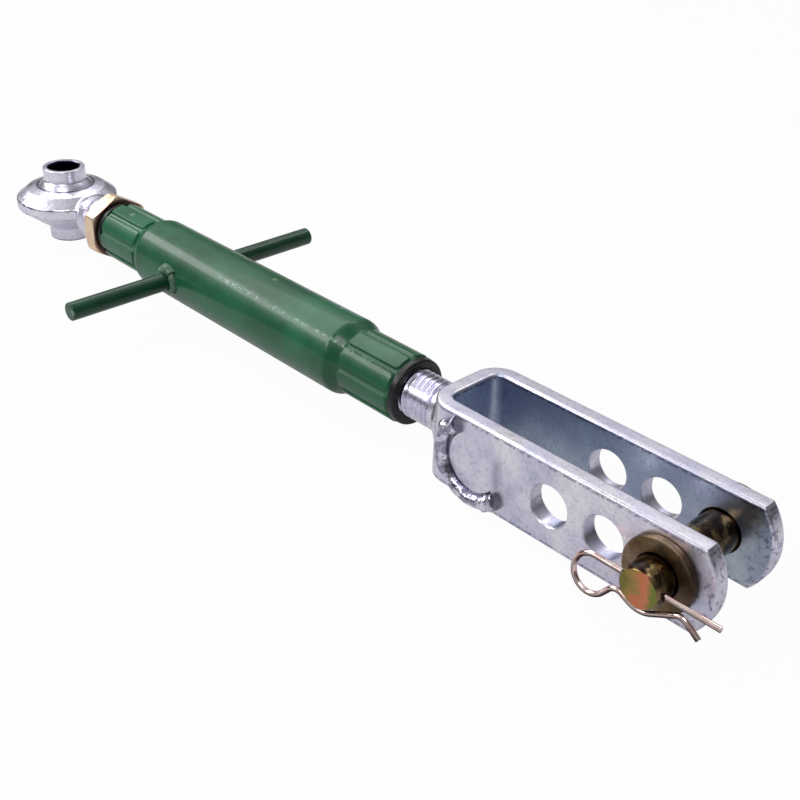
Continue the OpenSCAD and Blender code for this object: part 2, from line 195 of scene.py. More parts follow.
# %% A helper that wires nodes
class Wiring:
    """A node tree under construction. Inputs are given by place in a list or by name in a dict."""

    def __init__(self, tree):
        self.tree = tree

    def add(self, kind, inputs=(), out=0, **settings):
        node = self.tree.nodes.new(kind)
        for setting, value in settings.items():
            setattr(node, setting, value)
        pairs = inputs.items() if isinstance(inputs, dict) else enumerate(inputs)
        for socket, value in pairs:
            if isinstance(value, Signal):
                self.plug(value, node.inputs[socket])
            elif value is not None:
                node.inputs[socket].default_value = value
        return Signal(self, node.outputs[out])

    def plug(self, signal, socket):
        self.tree.links.new(signal.socket, socket)

    def outputs(self, kind, inputs=()):
        """All outputs of a new node, by name."""
        node = self.add(kind, inputs).socket.node
        return {output.name: Signal(self, output) for output in node.outputs}

    def split(self, vector):
        return self.outputs("ShaderNodeSeparateXYZ", [vector]).values()

    def math(self, operation, *values):
        return self.add("ShaderNodeMath", values, operation=operation)

    def most(self, one, other):
        return self.math("MAXIMUM", one, other)

    def least(self, one, other):
        return self.math("MINIMUM", one, other)

    def distance(self, one, other):
        """How far a point lies from the middle, from its two coordinates."""
        return self.math("SQRT", one * one + other * other)

    def spread(self, value, from_low, from_high, to_low, to_high, **settings):
        """Map a value from one range to another, and hold it at the ends."""
        inputs = [value, from_low, from_high, to_low, to_high]
        return self.add("ShaderNodeMapRange", inputs, **settings)

    def past(self, value, start, end):
        """0 up to a start and 1 from an end on."""
        return self.spread(value, start, end, 0, 1)

    def before(self, value, start, end):
        """1 up to a start and 0 from an end on."""
        return self.spread(value, start, end, 1, 0)


print("nodes are wired with Wiring")

# %% [markdown]
# ## Metal and paint
# Real plating is never one colour: it has clouds where the bath was warmer, stains where it
# dried slowly, and tiny pits. Each finish below starts from Object coordinates, so its
# pattern is fixed to the piece in real millimetres. Noise at two or three scales drives the
# colour, the roughness and a shallow bump. A film is a stain, or a painted shade, at a known place of a
# piece.


# %% Shared parts of every finish
class Finish(Wiring):
    """A material with a Principled shader and patterns measured in millimetres."""

    def __init__(self, name, **sockets):
        self.material = bpy.data.materials.new(name)
        self.material.use_nodes = True
        super().__init__(self.material.node_tree)
        self.shader = self.tree.nodes["Principled BSDF"].inputs
        self.place = self.add("ShaderNodeTexCoord", out="Object")
        in_mm = self.add("ShaderNodeVectorMath", [self.place, [1 / MM] * 3], operation="MULTIPLY")
        self.along, self.across, self.up = self.split(in_mm)
        for label, value in sockets.items():
            self.shader[label.replace("_", " ")].default_value = value

    def clouds(self, size_mm, detail=4.0, rough=0.55):
        """Noise between 0 and 1 whose features are about this many millimetres across."""
        inputs = {"Vector": self.place, "Scale": 1 / (size_mm * MM), "Detail": detail, "Roughness": rough}
        return self.add("ShaderNodeTexNoise", inputs)

    def patch(self, size_mm, share):
        """1 in ragged patches where noise of this size is over a share, and 0 elsewhere."""
        return self.past(self.clouds(size_mm, detail=3, rough=0.6), share, share + 0.05)

    def specks(self, size_mm, share):
        """1 inside small round specks and 0 elsewhere."""
        inputs = {"Vector": self.place, "Scale": 1 / (size_mm * MM)}
        near = self.add("ShaderNodeTexVoronoi", inputs)
        return self.before(near, share * 0.6, share)

    def ramp(self, value, *stops):
        """Colours at given places along a 0 to 1 value."""
        colour = self.add("ShaderNodeValToRGB", [value])
        marks = colour.socket.node.color_ramp.elements
        while len(marks) < len(stops):
            marks.new(0.5)
        for mark, (place, shade) in zip(marks, stops):
            mark.position = place
            mark.color = (*shade, 1)
        return colour

    def mix(self, share, one, other, blend="MIX"):
        """A share of the other colour laid over the first."""
        colours = [c if isinstance(c, Signal) else (*c, 1) for c in (one, other)]
        inputs = {0: share, 6: colours[0], 7: colours[1]}
        return self.add("ShaderNodeMix", inputs, out=2, data_type="RGBA", blend_type=blend)

    def tint(self, share, one, other):
        """A colour seen through a share of another."""
        return self.mix(share, one, self.mix(1.0, one, other, "MULTIPLY"))

    def bumps(self, *heights):
        """Stack (height, depth in mm) patterns into one normal."""
        normal = None
        for height, depth_mm in heights:
            inputs = {"Strength": 1.0, "Distance": depth_mm * MM, "Height": height, "Normal": normal}
            normal = self.add("ShaderNodeBump", inputs)
        self.wire("Normal", normal)

    def wire(self, label, value):
        self.plug(value, self.shader[label])


print("finishes are built from Object coordinates")

# %% [markdown]
# ## Bright zinc
# The fork, the ball, the eye and the stud are zinc plated steel. Bright zinc is a cool silver
# with faint lavender and blue clouds, and duller patches where the rolled or forged skin
# below it was rough. A film is a stain or a painted shade at a known place. The fork has three:
# a weak blue painted shade inside the U, purple lines and mottles along its edges and tips,
# and painted shade in the groove beside the weld and beside the spot.


# %% The films on the fork
FORK_IN, WEB_IN, FILM_TO = ARM_OUT - STRIP_T, FORK_FROM + STRIP_T, 480
TIP_MOTTLES = (486, 500)


def bend_shade_film(finish):
    """Inside the U, painted shade: slate blue at the bend, weaker in its corners where the bend catches
    light, fading to the tips.
    """
    out = abs(finish.across)
    between = finish.before(out, FORK_IN - 0.4, FORK_IN + 0.4)
    ahead = finish.past(finish.along, WEB_IN - 0.4, WEB_IN + 0.4)
    to_corner = out - (finish.along - WEB_IN)
    corner = finish.spread(to_corner, FORK_IN - BEND_IN_R, FORK_IN - 0.6 * BEND_IN_R, 1, 0.45)
    depth = finish.past(finish.along, WEB_IN, FILM_TO) + (finish.clouds(14) - 0.5) * 0.5
    film = finish.ramp(
        depth, (0.0, (0.15, 0.36, 0.50)), (0.3, (0.19, 0.45, 0.58)), (0.6, (0.34, 0.59, 0.69)),
        (1, (0.46, 0.65, 0.70)),
    )
    return corner * between * ahead, film


def edge_lines_and_tip_mottles(finish):
    """Thin purple lines along the strip's edges, broken into patches, and purple mottles at its tips."""
    from_line = abs(abs(finish.up) - (STRIP_HALF_H - 1.7))
    line = finish.before(from_line, 0.2, 0.7) * finish.patch(2.0, 0.44)
    tip = finish.past(finish.along, *TIP_MOTTLES) * finish.patch(3.0, 0.56)
    return finish.most(line, tip) * 0.7, (0.22, 0.17, 0.30)


def spot_painted_shade(finish):
    """Painted shade in the groove on the near arm, and a soft painted shade beside the spot inside it."""
    near_face = finish.before(finish.across, 0.8 - ARM_OUT, 1.2 - ARM_OUT)
    past_spot = finish.along - SPOT_X
    from_line = abs(finish.distance(past_spot, finish.up) - GROOVE_R)
    weld_side = finish.before(past_spot + finish.up, 1.0, 2.0)
    groove = finish.spread(from_line, 0.5, 1.2, 0.92, 0) * weld_side
    from_shade = abs(past_spot - 0.9 * GROOVE_R)
    shade = finish.spread(from_shade, 0, 4, 0.36, 0) * finish.before(abs(finish.up), 6, 12)
    return finish.most(groove, shade) * near_face, (0.10, 0.09, 0.13)


print("films start at the web's inner face, at", round(WEB_IN, 1), "mm")

# %% [markdown]
# ## Marks on the welds, the eye and the ball
# A weld gets random dark patches over its pools, as painted shade. The forged eye has dark
# dashes along both edges of its belt, and painted shade in the gap round the ball. The ball's
# hole is painted nearly black as shade, and the rim below is painted dark blue as shade.


# %% The films on the other zinc
def pool_shade_patches(finish):
    """Random dark purple patches over a weld's pools: painted shade."""
    return finish.patch(7.0, 0.50) * 0.65, (0.20, 0.16, 0.24)


def belt_edge_dashes(finish):
    """Dark dashes along both edges of the forged belt."""
    from_top, from_low = abs(finish.up - (BELT_TOP - 0.3)), abs(finish.up - (BELT_LOW - 0.2))
    line = finish.spread(finish.least(from_top, from_low), 0.3, 0.9, 0.8, 0)
    on_ring = finish.before(finish.along, 20, 23)
    return line * on_ring * finish.patch(5.0, 0.50), (0.16, 0.13, 0.22)


def lip_gap_shade(finish):
    """Painted shade in the narrow gap between the eye's lip and the ball."""
    from_lip = abs(finish.distance(finish.along, finish.across) - (LIP_R + 0.2))
    on_top = finish.past(finish.up, EYE_HALF_H - 1.5, EYE_HALF_H - 0.8)
    return finish.spread(from_lip, 0.3, 1.0, 0.9, 0) * on_top, (0.08, 0.07, 0.12)


def low_rim_shade(finish):
    """The lower collar's rim is painted dark blue as shade."""
    return finish.spread(finish.up, 0.4 - BALL_HALF_W, 1.4 - BALL_HALF_W, 0.85, 0), (0.10, 0.14, 0.28)


def bore_shade(finish):
    """The ball's hole is painted nearly black as shade."""
    out = finish.distance(finish.along, finish.across)
    return finish.before(out, HOLE_R + 0.45, HOLE_R + 0.85), (0.03, 0.035, 0.08)


print("each film gives a share and a colour")

# %% [markdown]
# ## One recipe for all the zinc
# Clouds choose the tint, finer noise adds grime and dents, and dark flecks are the pits.
# Then each film is laid over the colour: the colour is multiplied by the film's own, by the
# share that the film gives for that place.


# %% Bright zinc, rolled, turned and forged
def zinc(name, dull, dent_mm, cloud_mm, fleck_from=0.74, pale=0.0, grain=0.12, films=()):
    """Each of films is a function of the finish that gives (share, colour): what darkens a place."""
    finish = Finish(name, Metallic=1.0)
    clouds = finish.clouds(cloud_mm)
    fine = finish.clouds(1.6, detail=6, rough=0.7)
    pits = finish.clouds(2.6, detail=2, rough=0.6)
    flecks = finish.spread(pits, fleck_from, fleck_from + 0.03, 0, 0.75)
    silver = finish.ramp(
        clouds, (0.30, (0.60, 0.62, 0.74)), (0.46, (0.74, 0.71, 0.84)),
        (0.58, (0.82, 0.80, 0.88)), (0.72, (0.90, 0.88, 0.92)),
    )
    silver = finish.mix(pale, silver, (0.88, 0.86, 0.97))
    grime = finish.ramp(
        fine, (0.30, (0.66, 0.64, 0.70)), (0.46, (0.95, 0.94, 0.96)), (0.6, (1, 1, 1))
    )
    colour = finish.mix(flecks, finish.mix(1.0, silver, grime, "MULTIPLY"), (0.14, 0.11, 0.20))
    for film in films:
        share, shade = film(finish)
        colour = finish.tint(share, colour, shade)
    finish.wire("Base Color", colour)
    finish.wire("Roughness", finish.spread(fine * 0.25 + clouds, 0.35, 0.85, dull + 0.16, dull - 0.06))
    finish.bumps((finish.clouds(9, detail=2), dent_mm), (fine, dent_mm * grain), (flecks, -0.05))
    return finish.material


rolled_zinc = zinc("rolled_zinc", 0.30, 0.25, 16, films=(bend_shade_film, edge_lines_and_tip_mottles, spot_painted_shade))
turned_zinc = zinc("turned_zinc", 0.20, 0.04, 9, pale=0.5)
ball_zinc = zinc("ball_zinc", 0.26, 0.04, 9, pale=0.6, films=(bore_shade, low_rim_shade))
forged_zinc = zinc("forged_zinc", 0.27, 0.65, 11, fleck_from=0.66, pale=0.5, films=(belt_edge_dashes, lip_gap_shade))
weld_zinc = zinc("weld_zinc", 0.14, 0.4, 5, fleck_from=0.64, grain=0.3, films=(pool_shade_patches,))
print("made", rolled_zinc.name, turned_zinc.name, ball_zinc.name, forged_zinc.name, weld_zinc.name)

# %% [markdown]
# ## Yellow, olive and copper finishes
# The locknut has a thin yellow passivation that looks almost pink. The pin and the washer
# have a thick one that swings from black and olive to gold, red and green, because the film
# acts like oil on water. The clip is spring wire with a pale coppery wash. All four are one
# recipe: a ramp of colours over noise, so that the swing stays on the piece from any side,
# and a film for one place: the pin's end face has its own colours, while the nut's face
# against the barrel, the washer's far side and the wire's underside get painted shade.


# %% Coloured platings
def pin_end_film(finish, clouds):
    """The pin's end face runs from olive through brick red to green."""
    end_face = finish.before(finish.across, PIN_END + 0.1, PIN_END + 0.4)
    slope = finish.spread(finish.along, PIN_X - PIN_R, PIN_X + PIN_R, -0.05, 0.95)
    return end_face, finish.ramp(
        slope + (clouds - 0.5) * 0.9, (0.05, (0.20, 0.17, 0.05)), (0.26, (0.36, 0.24, 0.08)),
        (0.42, (0.60, 0.20, 0.09)), (0.72, (0.60, 0.22, 0.12)), (0.90, (0.20, 0.22, 0.05)),
    )


def nut_face_shade(finish, clouds):
    """The nut's face against the barrel is painted dark brown as shade."""
    return finish.spread(finish.along, NUT_TO - 0.9, NUT_TO - 0.4, 0, 0.9), (0.12, 0.06, 0.05)


def underside_shade_film(finish, clouds):
    """The wire's underside is painted almost black as shade, where the clip's mesh marks it."""
    return finish.add("ShaderNodeAttribute", out="Fac", attribute_name="underside"), (0.04, 0.015, 0.015)


def washer_side_shade(finish, clouds):
    """The washer is painted darker towards the link's end, as shade."""
    return finish.spread(finish.along, PIN_X + 2, PIN_X + WASHER_R, 0, 0.75), (0.045, 0.022, 0.018)


def passivated(name, dull, cloud_mm, film, *stops):
    finish = Finish(name, Metallic=1.0)
    clouds = finish.clouds(cloud_mm, detail=3, rough=0.5)
    fine = finish.clouds(1.2, detail=5, rough=0.7)
    share, other = film(finish, clouds)
    colour = finish.ramp(fine * 0.22 + clouds * 0.86, *stops)
    finish.wire("Base Color", finish.mix(share, colour, other))
    finish.wire("Roughness", finish.spread(fine, 0.3, 0.7, dull + 0.08, dull - 0.04))
    finish.bumps((clouds, 0.08), (fine, 0.02))
    return finish.material


yellow_zinc = passivated(
    "yellow_zinc", 0.38, 9, nut_face_shade, (0.34, (0.60, 0.38, 0.32)), (0.47, (0.88, 0.64, 0.46)),
    (0.62, (0.94, 0.74, 0.52)), (0.75, (0.80, 0.62, 0.58)),
)
dichromate = passivated(
    "dichromate", 0.20, 7, pin_end_film, (0.40, (0.012, 0.009, 0.007)), (0.53, (0.05, 0.028, 0.018)),
    (0.62, (0.26, 0.19, 0.08)), (0.72, (0.24, 0.11, 0.09)),
)
washer_dichromate = passivated(
    "washer_dichromate", 0.34, 14, washer_side_shade, (0.36, (0.07, 0.04, 0.02)),
    (0.48, (0.16, 0.11, 0.06)), (0.58, (0.27, 0.20, 0.14)), (0.70, (0.14, 0.08, 0.045)),
)
copper_wash = passivated(
    "copper_wash", 0.14, 6, underside_shade_film, (0.35, (0.74, 0.46, 0.42)), (0.5, (0.95, 0.70, 0.65)),
    (0.65, (1.0, 0.84, 0.79)),
)
print("made", yellow_zinc.name, dichromate.name, washer_dichromate.name, copper_wash.name)

# %% [markdown]
# ## Paint and near-black steel
# The barrel and its handle are painted in dark green gloss enamel. Enamel is a colour under a
# clear skin, so the shader's coat gives the sharp shine while the paint below stays softer. A
# faint waviness is the orange peel of the coat. The paint is darker on the rods, as painted
# shade, and paler over the welds, as a painted highlight. A line of scuffs along the barrel's
# upper side is painted pale only where the sheen falls: real rubbing, shown as painted glints.
# The two bushes are made near black and not metallic, as painted shade for the barrel's ends.

# %% Green enamel and black steel
SHEEN_ANGLE = 0.74
SCUFFS_FROM, SCUFFS_TO = (175, 190), (300, 310)


def enamel(name, lit_paleness=0.0, depth=1.0):
    """The first number pales the paint, a painted highlight over the welds, and a depth under 1 darkens
    it, painted shade on the rods.
    """
    finish = Finish(name, Coat_Weight=0.3, Coat_Roughness=0.14, Specular_IOR_Level=0.30)
    broad = finish.clouds(30, detail=3)
    fine = finish.clouds(2.2, detail=5, rough=0.6)
    drops = finish.specks(21, 0.10)
    dark = [depth * c + 0.06 * lit_paleness for c in (0.006, 0.078, 0.028)]
    light = [depth * c + 0.10 * lit_paleness for c in (0.013, 0.130, 0.056)]
    body = finish.ramp(broad, (0.35, dark), (0.65, light))
    angle = finish.math("ARCTAN2", finish.across * -1.0, finish.up)
    # Pale scuffs are painted only along the line where the sheen falls, as glints on real rubbing.
    sheen_line = finish.before(abs(angle - SHEEN_ANGLE), 0.02, 0.07)
    stretch = finish.past(finish.along, *SCUFFS_FROM) * finish.before(finish.along, *SCUFFS_TO)
    scuffs = sheen_line * stretch * finish.patch(1.8, 0.53)
    painted = finish.mix(drops, body, (0.10, 0.22, 0.13))
    finish.wire("Base Color", finish.mix(scuffs * 0.6, painted, (0.34, 0.46, 0.38)))
    finish.wire("Roughness", finish.spread(fine, 0.3, 0.7, 0.42, 0.30))
    finish.bumps((finish.clouds(6, detail=1), 0.10), (fine, 0.02), (drops, 0.12))
    return finish.material


# Near black and not metallic: painted shade for the dark ends of the barrel.
def shade_black_finish(name):
    finish = Finish(name, Metallic=0.0, Specular_IOR_Level=0.35)
    fine = finish.clouds(1.5, detail=5)
    black = finish.ramp(fine, (0.35, (0.003, 0.004, 0.004)), (0.7, (0.016, 0.016, 0.018)))
    finish.wire("Base Color", black)
    finish.wire("Roughness", finish.spread(fine, 0.3, 0.7, 0.40, 0.24))
    finish.bumps((fine, 0.03))
    return finish.material


green_enamel = enamel("green_enamel")
weld_enamel = enamel("weld_enamel", lit_paleness=1.0)
rod_enamel = enamel("rod_enamel", depth=0.5)
black_steel = shade_black_finish("black_steel")
print("made", green_enamel.name, weld_enamel.name, rod_enamel.name, black_steel.name)

# %% [markdown]
# ## Turning on a lathe
# Most of this link is round: the ball, the pin, the bushes, the rods. On a lathe a tool
# follows an outline while the bar spins, and the script does the same. An outline is a list
# of (along, radius) corners in millimetres, and a corner may carry a rounding, because no
# corner of a real turned piece is perfectly sharp.


# %% Draw outlines
def rounded(*corners, steps=5):
    """Corners are (along, radius) or (along, radius, rounding). The outline runs on from first to last."""
    outline = []
    for i, corner in enumerate(corners):
        here = Vector(corner[:2])
        if len(corner) == 2:
            outline.append(here)
            continue
        back = (Vector(corners[i - 1][:2]) - here).normalized()
        on = (Vector(corners[(i + 1) % len(corners)][:2]) - here).normalized()
        half = back.angle(on) / 2
        reach = corner[2] / math.tan(half)
        middle = here + (back + on).normalized() * corner[2] / math.sin(half)
        start, end = here + back * reach - middle, here + on * reach - middle
        sweep = start.angle_signed(end)
        for k in range(steps + 1):
            outline.append(middle + Matrix.Rotation(-sweep * k / steps, 2) @ start)
    return outline


def arc(middle, radius, from_deg, to_deg, steps=16):
    """Points along an arc. 0 degrees points outwards and 90 points along the axis."""
    angles = [math.radians(from_deg + (to_deg - from_deg) * k / steps) for k in range(steps + 1)]
    return [Vector((middle[0] + radius * math.sin(a), middle[1] + radius * math.cos(a))) for a in angles]


def mirrored(outline):
    """The same outline running back on the other side of its middle."""
    return [Vector((-along, radius)) for along, radius in reversed(outline)]


print("an outline is a list of (along, radius) in mm")

# %% [markdown]
# ## Spinning an outline
# The outline is copied round the axis, and neighbouring copies are joined by faces. It may be
# a loop, for a piece with a bore, or start and end on the axis, for a solid piece.


# %% Spin an outline into a piece
def as_object(name, mesh):
    """Put a bmesh into a new object at the origin."""
    data = bpy.data.meshes.new(name)
    mesh.to_mesh(data)
    mesh.free()
    made = bpy.data.objects.new(name, data)
    bpy.context.scene.collection.objects.link(made)
    return made


def spin(name, outline, axis=(1, 0, 0), at=(0, 0, 0), around=96):
    """Spin an outline in mm round an axis through a point. outline may be a function of the angle."""
    mesh = bmesh.new()
    columns = []
    poles = {}
    for k in range(around):
        angle = math.tau * k / around
        column = []
        for i, (along, radius) in enumerate(outline(angle) if callable(outline) else outline):
            if radius > 1e-6:
                corner = (radius * math.cos(angle), radius * math.sin(angle), along)
                column.append(mesh.verts.new(corner))
                continue
            if i not in poles:
                poles[i] = mesh.verts.new((0, 0, along))
            column.append(poles[i])
        columns.append(column)
    count = len(columns[0])
    for k in range(around):
        one, two = columns[k], columns[(k + 1) % around]
        for i in range(count - 1 if poles else count):
            n = (i + 1) % count
            corners = list(dict.fromkeys((one[i], two[i], two[n], one[n])))
            if len(corners) > 2:
                mesh.faces.new(corners)
    turn = Vector(axis).to_track_quat("Z", "Y").to_matrix().to_4x4()
    mesh.transform(Matrix.Scale(MM, 4) @ Matrix.Translation(Vector(at)) @ turn)
    bmesh.ops.recalc_face_normals(mesh, faces=mesh.faces)
    return as_object(name, mesh)


print("an outline is spun into rings of faces")

# %% [markdown]
# ## Cutting, joining and handing over
# A drill or a mill takes material away from a blank, which is a Boolean modifier here. Once
# a piece is finished, its modifiers are turned into plain mesh, it gets its finish, it is
# told which moving body it rides on, and the engineering solid that it stands for is hidden.


# %% Workshop helpers
def settle(made):
    """Turn an object's modifiers into plain mesh."""
    graph = bpy.context.evaluated_depsgraph_get()
    mesh = bpy.data.meshes.new_from_object(made.evaluated_get(graph))
    made.modifiers.clear()
    made.data = mesh
    return made


def carve(made, tool, how="DIFFERENCE"):
    """Cut or join an object with another one, which is used up."""
    boolean = made.modifiers.new("carve", "BOOLEAN")
    boolean.operation = how
    boolean.object = tool
    boolean.solver = "EXACT"
    settle(made)
    bpy.data.objects.remove(tool)


def gather(name, *parts):
    """Join closed shells into one object."""
    mesh = bmesh.new()
    for part in parts:
        mesh.from_mesh(part.data)
        bpy.data.objects.remove(part)
    return as_object(name, mesh)


def outwards(made, near_mm=0.0):
    """Merge doubled points and turn every face outwards."""
    mesh = bmesh.new()
    mesh.from_mesh(made.data)
    if near_mm:
        bmesh.ops.remove_doubles(mesh, verts=mesh.verts, dist=near_mm * MM)
    bmesh.ops.recalc_face_normals(mesh, faces=mesh.faces)
    mesh.to_mesh(made.data)
    mesh.free()
    return made


def hand_over(made, material, body, node, crease_deg=32):
    """Smooth, finish and fasten a piece, and hide the plain solid that it stands for."""
    made.data.materials.clear()
    made.data.materials.append(material)
    made.data.polygons.foreach_set("material_index", [0] * len(made.data.polygons))
    made.data.shade_smooth()
    made.data.set_sharp_from_angle(angle=math.radians(crease_deg))
    weighted = made.modifiers.new("even shading", "WEIGHTED_NORMAL")
    weighted.keep_sharp = True
    settle(made)
    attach(made, body)
    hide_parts(node)
    size = [round(c / MM, 1) for c in made.dimensions]
    print(f"{made.name}: {len(made.data.polygons)} faces, {size} mm, rides on {body}")


print("pieces are settled, carved, gathered and handed over")

# %% [markdown]
# ## The ball
# The ball is turned from one bar, with a collar above and below that spaces it from the lift
# arm. The collars run into the ball with a small fillet left by the tool's nose, and the bore
# is chamfered so that a pin finds its way in.

# %% Turn the ball
BALL_R, COLLAR_R, COLLAR_ROUND, BORE_CHAMFER = 20.0, 13.0, 0.8, 0.8
COLLAR_FILLET = 1.8

fillet_at = math.sqrt((BALL_R + COLLAR_FILLET) ** 2 - (COLLAR_R + COLLAR_FILLET) ** 2)
meets_ball = math.degrees(math.atan2(fillet_at, COLLAR_R + COLLAR_FILLET))
upper_half = arc((0, 0), BALL_R, 0, meets_ball, 20)
upper_half += arc((fillet_at, COLLAR_R + COLLAR_FILLET), COLLAR_FILLET, meets_ball - 180, -180, 6)[1:]
upper_half += rounded(
    (fillet_at, COLLAR_R), (BALL_HALF_W, COLLAR_R, COLLAR_ROUND),
    (BALL_HALF_W, HOLE_R + BORE_CHAMFER, 0.2), (BALL_HALF_W - BORE_CHAMFER, HOLE_R, 0.3), (0, HOLE_R),
)[1:]
ball = spin("ball_with_collars", upper_half + mirrored(upper_half)[1:-1], axis=(0, 0, 1))
hand_over(ball, ball_zinc, "ball", "ball")

# %% [markdown]
# ## Node trees that make shapes
# Threads, crimps and welds follow rules, so Geometry Nodes trees make them. Each tree has
# named inputs, so one tree makes several pieces. It ends in Realize Instances and Set
# Material, and its result is then kept as plain mesh, with nothing left that could change.


# %% Geometry Nodes helpers
class Shaping(Wiring):
    """A new Geometry Nodes tree with named inputs, each with a default value."""

    def __init__(self, name, sockets, modifies=False):
        super().__init__(bpy.data.node_groups.new(name, "GeometryNodeTree"))
        kinds = {int: "Int", float: "Float", type(None): "Material"}
        if modifies:
            self.new_socket("Geometry", "INPUT", "Geometry")
        for label, value in sockets.items():
            socket = self.new_socket(label, "INPUT", kinds[type(value)])
            if value is not None:
                socket.default_value = value
        self.new_socket("Geometry", "OUTPUT", "Geometry")
        self.given = self.outputs("NodeGroupInput")

    def new_socket(self, label, way, kind):
        return self.tree.interface.new_socket(label, in_out=way, socket_type="NodeSocket" + kind)

    def join(self, x, y, z):
        return self.add("ShaderNodeCombineXYZ", [x, y, z])

    def place_points(self, geometry, **inputs):
        named = {key.capitalize(): value for key, value in inputs.items()}
        return self.add("GeometryNodeSetPosition", {"Geometry": geometry, **named})

    def scaled(self, vector, scale):
        return self.add("ShaderNodeVectorMath", {"Vector": vector, "Scale": scale}, operation="SCALE")

    def close(self, geometry):
        """End the tree as a plain mesh needs."""
        real = self.add("GeometryNodeRealizeInstances", [geometry])
        inputs = {"Geometry": real, "Material": self.given["Material"]}
        finished = self.add("GeometryNodeSetMaterial", inputs)
        self.plug(finished, self.tree.nodes.new("NodeGroupOutput").inputs[0])
        print(self.tree.name, "has", len(self.tree.nodes), "nodes")
        return self.tree


def run_group(name, tree, base=None, **values):
    """Run a node tree on a base object, or on an empty one, and keep the result as plain mesh."""
    made = base or as_object(name, bmesh.new())
    nodes = made.modifiers.new(name, "NODES")
    nodes.node_group = tree
    labels = {item.name: item.identifier for item in tree.interface.items_tree if item.in_out == "INPUT"}
    for key, value in values.items():
        nodes[labels[key.replace("_", " ").capitalize()]] = value
    settle(made)
    made.name = name
    return made


print("node trees are made with Shaping and run with run_group")

# %% [markdown]
# ## Screw threads with Geometry Nodes
# A thread repeats one profile along a helix. A flat grid is rolled into a tube, and each row
# climbs by one pitch per turn. Because the rows themselves follow the helix, the crest stays
# one clean line. Clamping the rows at both ends gives the flat faces and the chamfered
# lead-in that a die leaves. The hand is an input, because the two ends of the link need
# opposite hands.

# %% Build the thread's node tree
PROFILE_STEPS = 16
CREST_HALF, ROOT_FROM = 1 / 16, 6 / 16


def thread_tree():
    w = Shaping("screw_thread", {
        "Start": 0.0, "End": 0.1, "Radius": 0.012, "Pitch": 0.003, "Depth": 0.0018,
        "Hand": 1.0, "Lead in": 0.0015, "Around": 72, "Material": None,
    })
    start, end, outer, pitch = (w.given[label] for label in ("Start", "End", "Radius", "Pitch"))
    turns = w.math("CEIL", (end - start) / pitch) + 1.0
    rows = turns * float(PROFILE_STEPS) + 1.0
    grid = w.add("GeometryNodeMeshGrid", [1.0, 1.0, w.given["Around"] + 1.0, rows])
    across, climbed, _ = w.split(w.add("GeometryNodeInputPosition"))
    round_share = across + 0.5
    row_turns = (climbed + 0.5) * turns
    # A right-hand row gains a pitch per turn and starts one pitch early, a left-hand row loses it
    climb = round_share * w.given["Hand"] - w.most(w.given["Hand"], 0.0)
    along = w.math("MULTIPLY_ADD", row_turns + climb, pitch, start)
    along = w.least(w.most(along, start), end)
    # The crest is an eighth of the pitch wide and the root a quarter
    from_crest = abs(w.math("WRAP", row_turns - CREST_HALF, 0.5, -0.5))
    root = outer - w.given["Depth"]
    flank = w.spread(from_crest, CREST_HALF, ROOT_FROM, outer, root)
    from_end = w.least(along - start, end - along)
    radius = w.least(flank, w.spread(from_end, 0.0, w.given["Lead in"], root, outer))
    # The first and last rows close the ends on the axis
    radius = radius * w.math("COMPARE", climbed, 0.0, 0.5 - 1e-4)
    angle = round_share * math.tau
    place = w.join(along, radius * w.math("COSINE", angle), radius * w.math("SINE", angle))
    rolled = w.place_points(grid, position=place)
    return w.close(w.add("GeometryNodeMergeByDistance", {"Geometry": rolled, "Distance": 2e-6}))


screw_thread = thread_tree()


def threaded_rod(name, start, end, hand):
    """A threaded length along the link, in mm."""
    return outwards(run_group(
        name, screw_thread, start=start * MM, end=end * MM, radius=THREAD_R * MM, pitch=PITCH * MM,
        depth=1.75 * MM, hand=float(hand), lead_in=1.4 * MM, around=72, material=turned_zinc,
    ))


# %% [markdown]
# ## The forged eye and its shank
# The eye is hammered between two dies, so it has no sharp corners: the ring, its belt and the
# neck flow into each other. Blocks are joined roughly, then a voxel skin and some smoothing
# melt the joins, as forging does. Machining comes after: the round seat for the ball and the
# flat shoulder for the locknut are cut into the forged blank and stay crisp.

# %% Forge, machine and thread the eye
EYE_TOP_R, EYE_FALL = 24.0, 1.8
NECK_R, NECK_RISE, SHOULDER_W = 14.5, 12.0, 2.5
SEAT_R, BLANK_BORE_R, NECK_ROOT_R = 20.3, 12, 8
FACING_R, FACING_L = 30, 20
SHOULDER_X, SHOULDER_R = NUT_FROM - 0.3, span("eye_end", 2)[1]

eye = spin("forged_eye", rounded(
    (-EYE_HALF_H, BLANK_BORE_R), (-EYE_HALF_H, LIP_R, 0.6), (BELT_LOW, EYE_R, 1.0),
    (BELT_TOP, EYE_R, 1.0), (EYE_HALF_H - EYE_FALL, EYE_TOP_R, 2.0), (EYE_HALF_H, LIP_R, 0.6),
    (EYE_HALF_H, BLANK_BORE_R),
), axis=(0, 0, 1), around=160)
neck_flare_from = SHOULDER_X - SHOULDER_W - 2 * (SHOULDER_R - NECK_R)
carve(eye, spin("neck_blank", rounded(
    (EYE_TOP_R - 2, 0), (EYE_TOP_R - 2, NECK_ROOT_R), (EYE_TOP_R + NECK_RISE, NECK_R, 8),
    (neck_flare_from, NECK_R, 5), (SHOULDER_X - SHOULDER_W, SHOULDER_R, 1.2),
    (SHOULDER_X + 4, SHOULDER_R), (SHOULDER_X + 4, 0),
)), "UNION")
skin = eye.modifiers.new("forged skin", "REMESH")
skin.mode = "VOXEL"
skin.voxel_size = 0.5 * MM
melt = eye.modifiers.new("melt the joins", "SMOOTH")
melt.factor = 0.5
melt.iterations = 6
settle(eye)
carve(eye, spin("seat_tool", arc((0, 0), SEAT_R, -90, 90, 48), axis=(0, 0, 1), around=128))
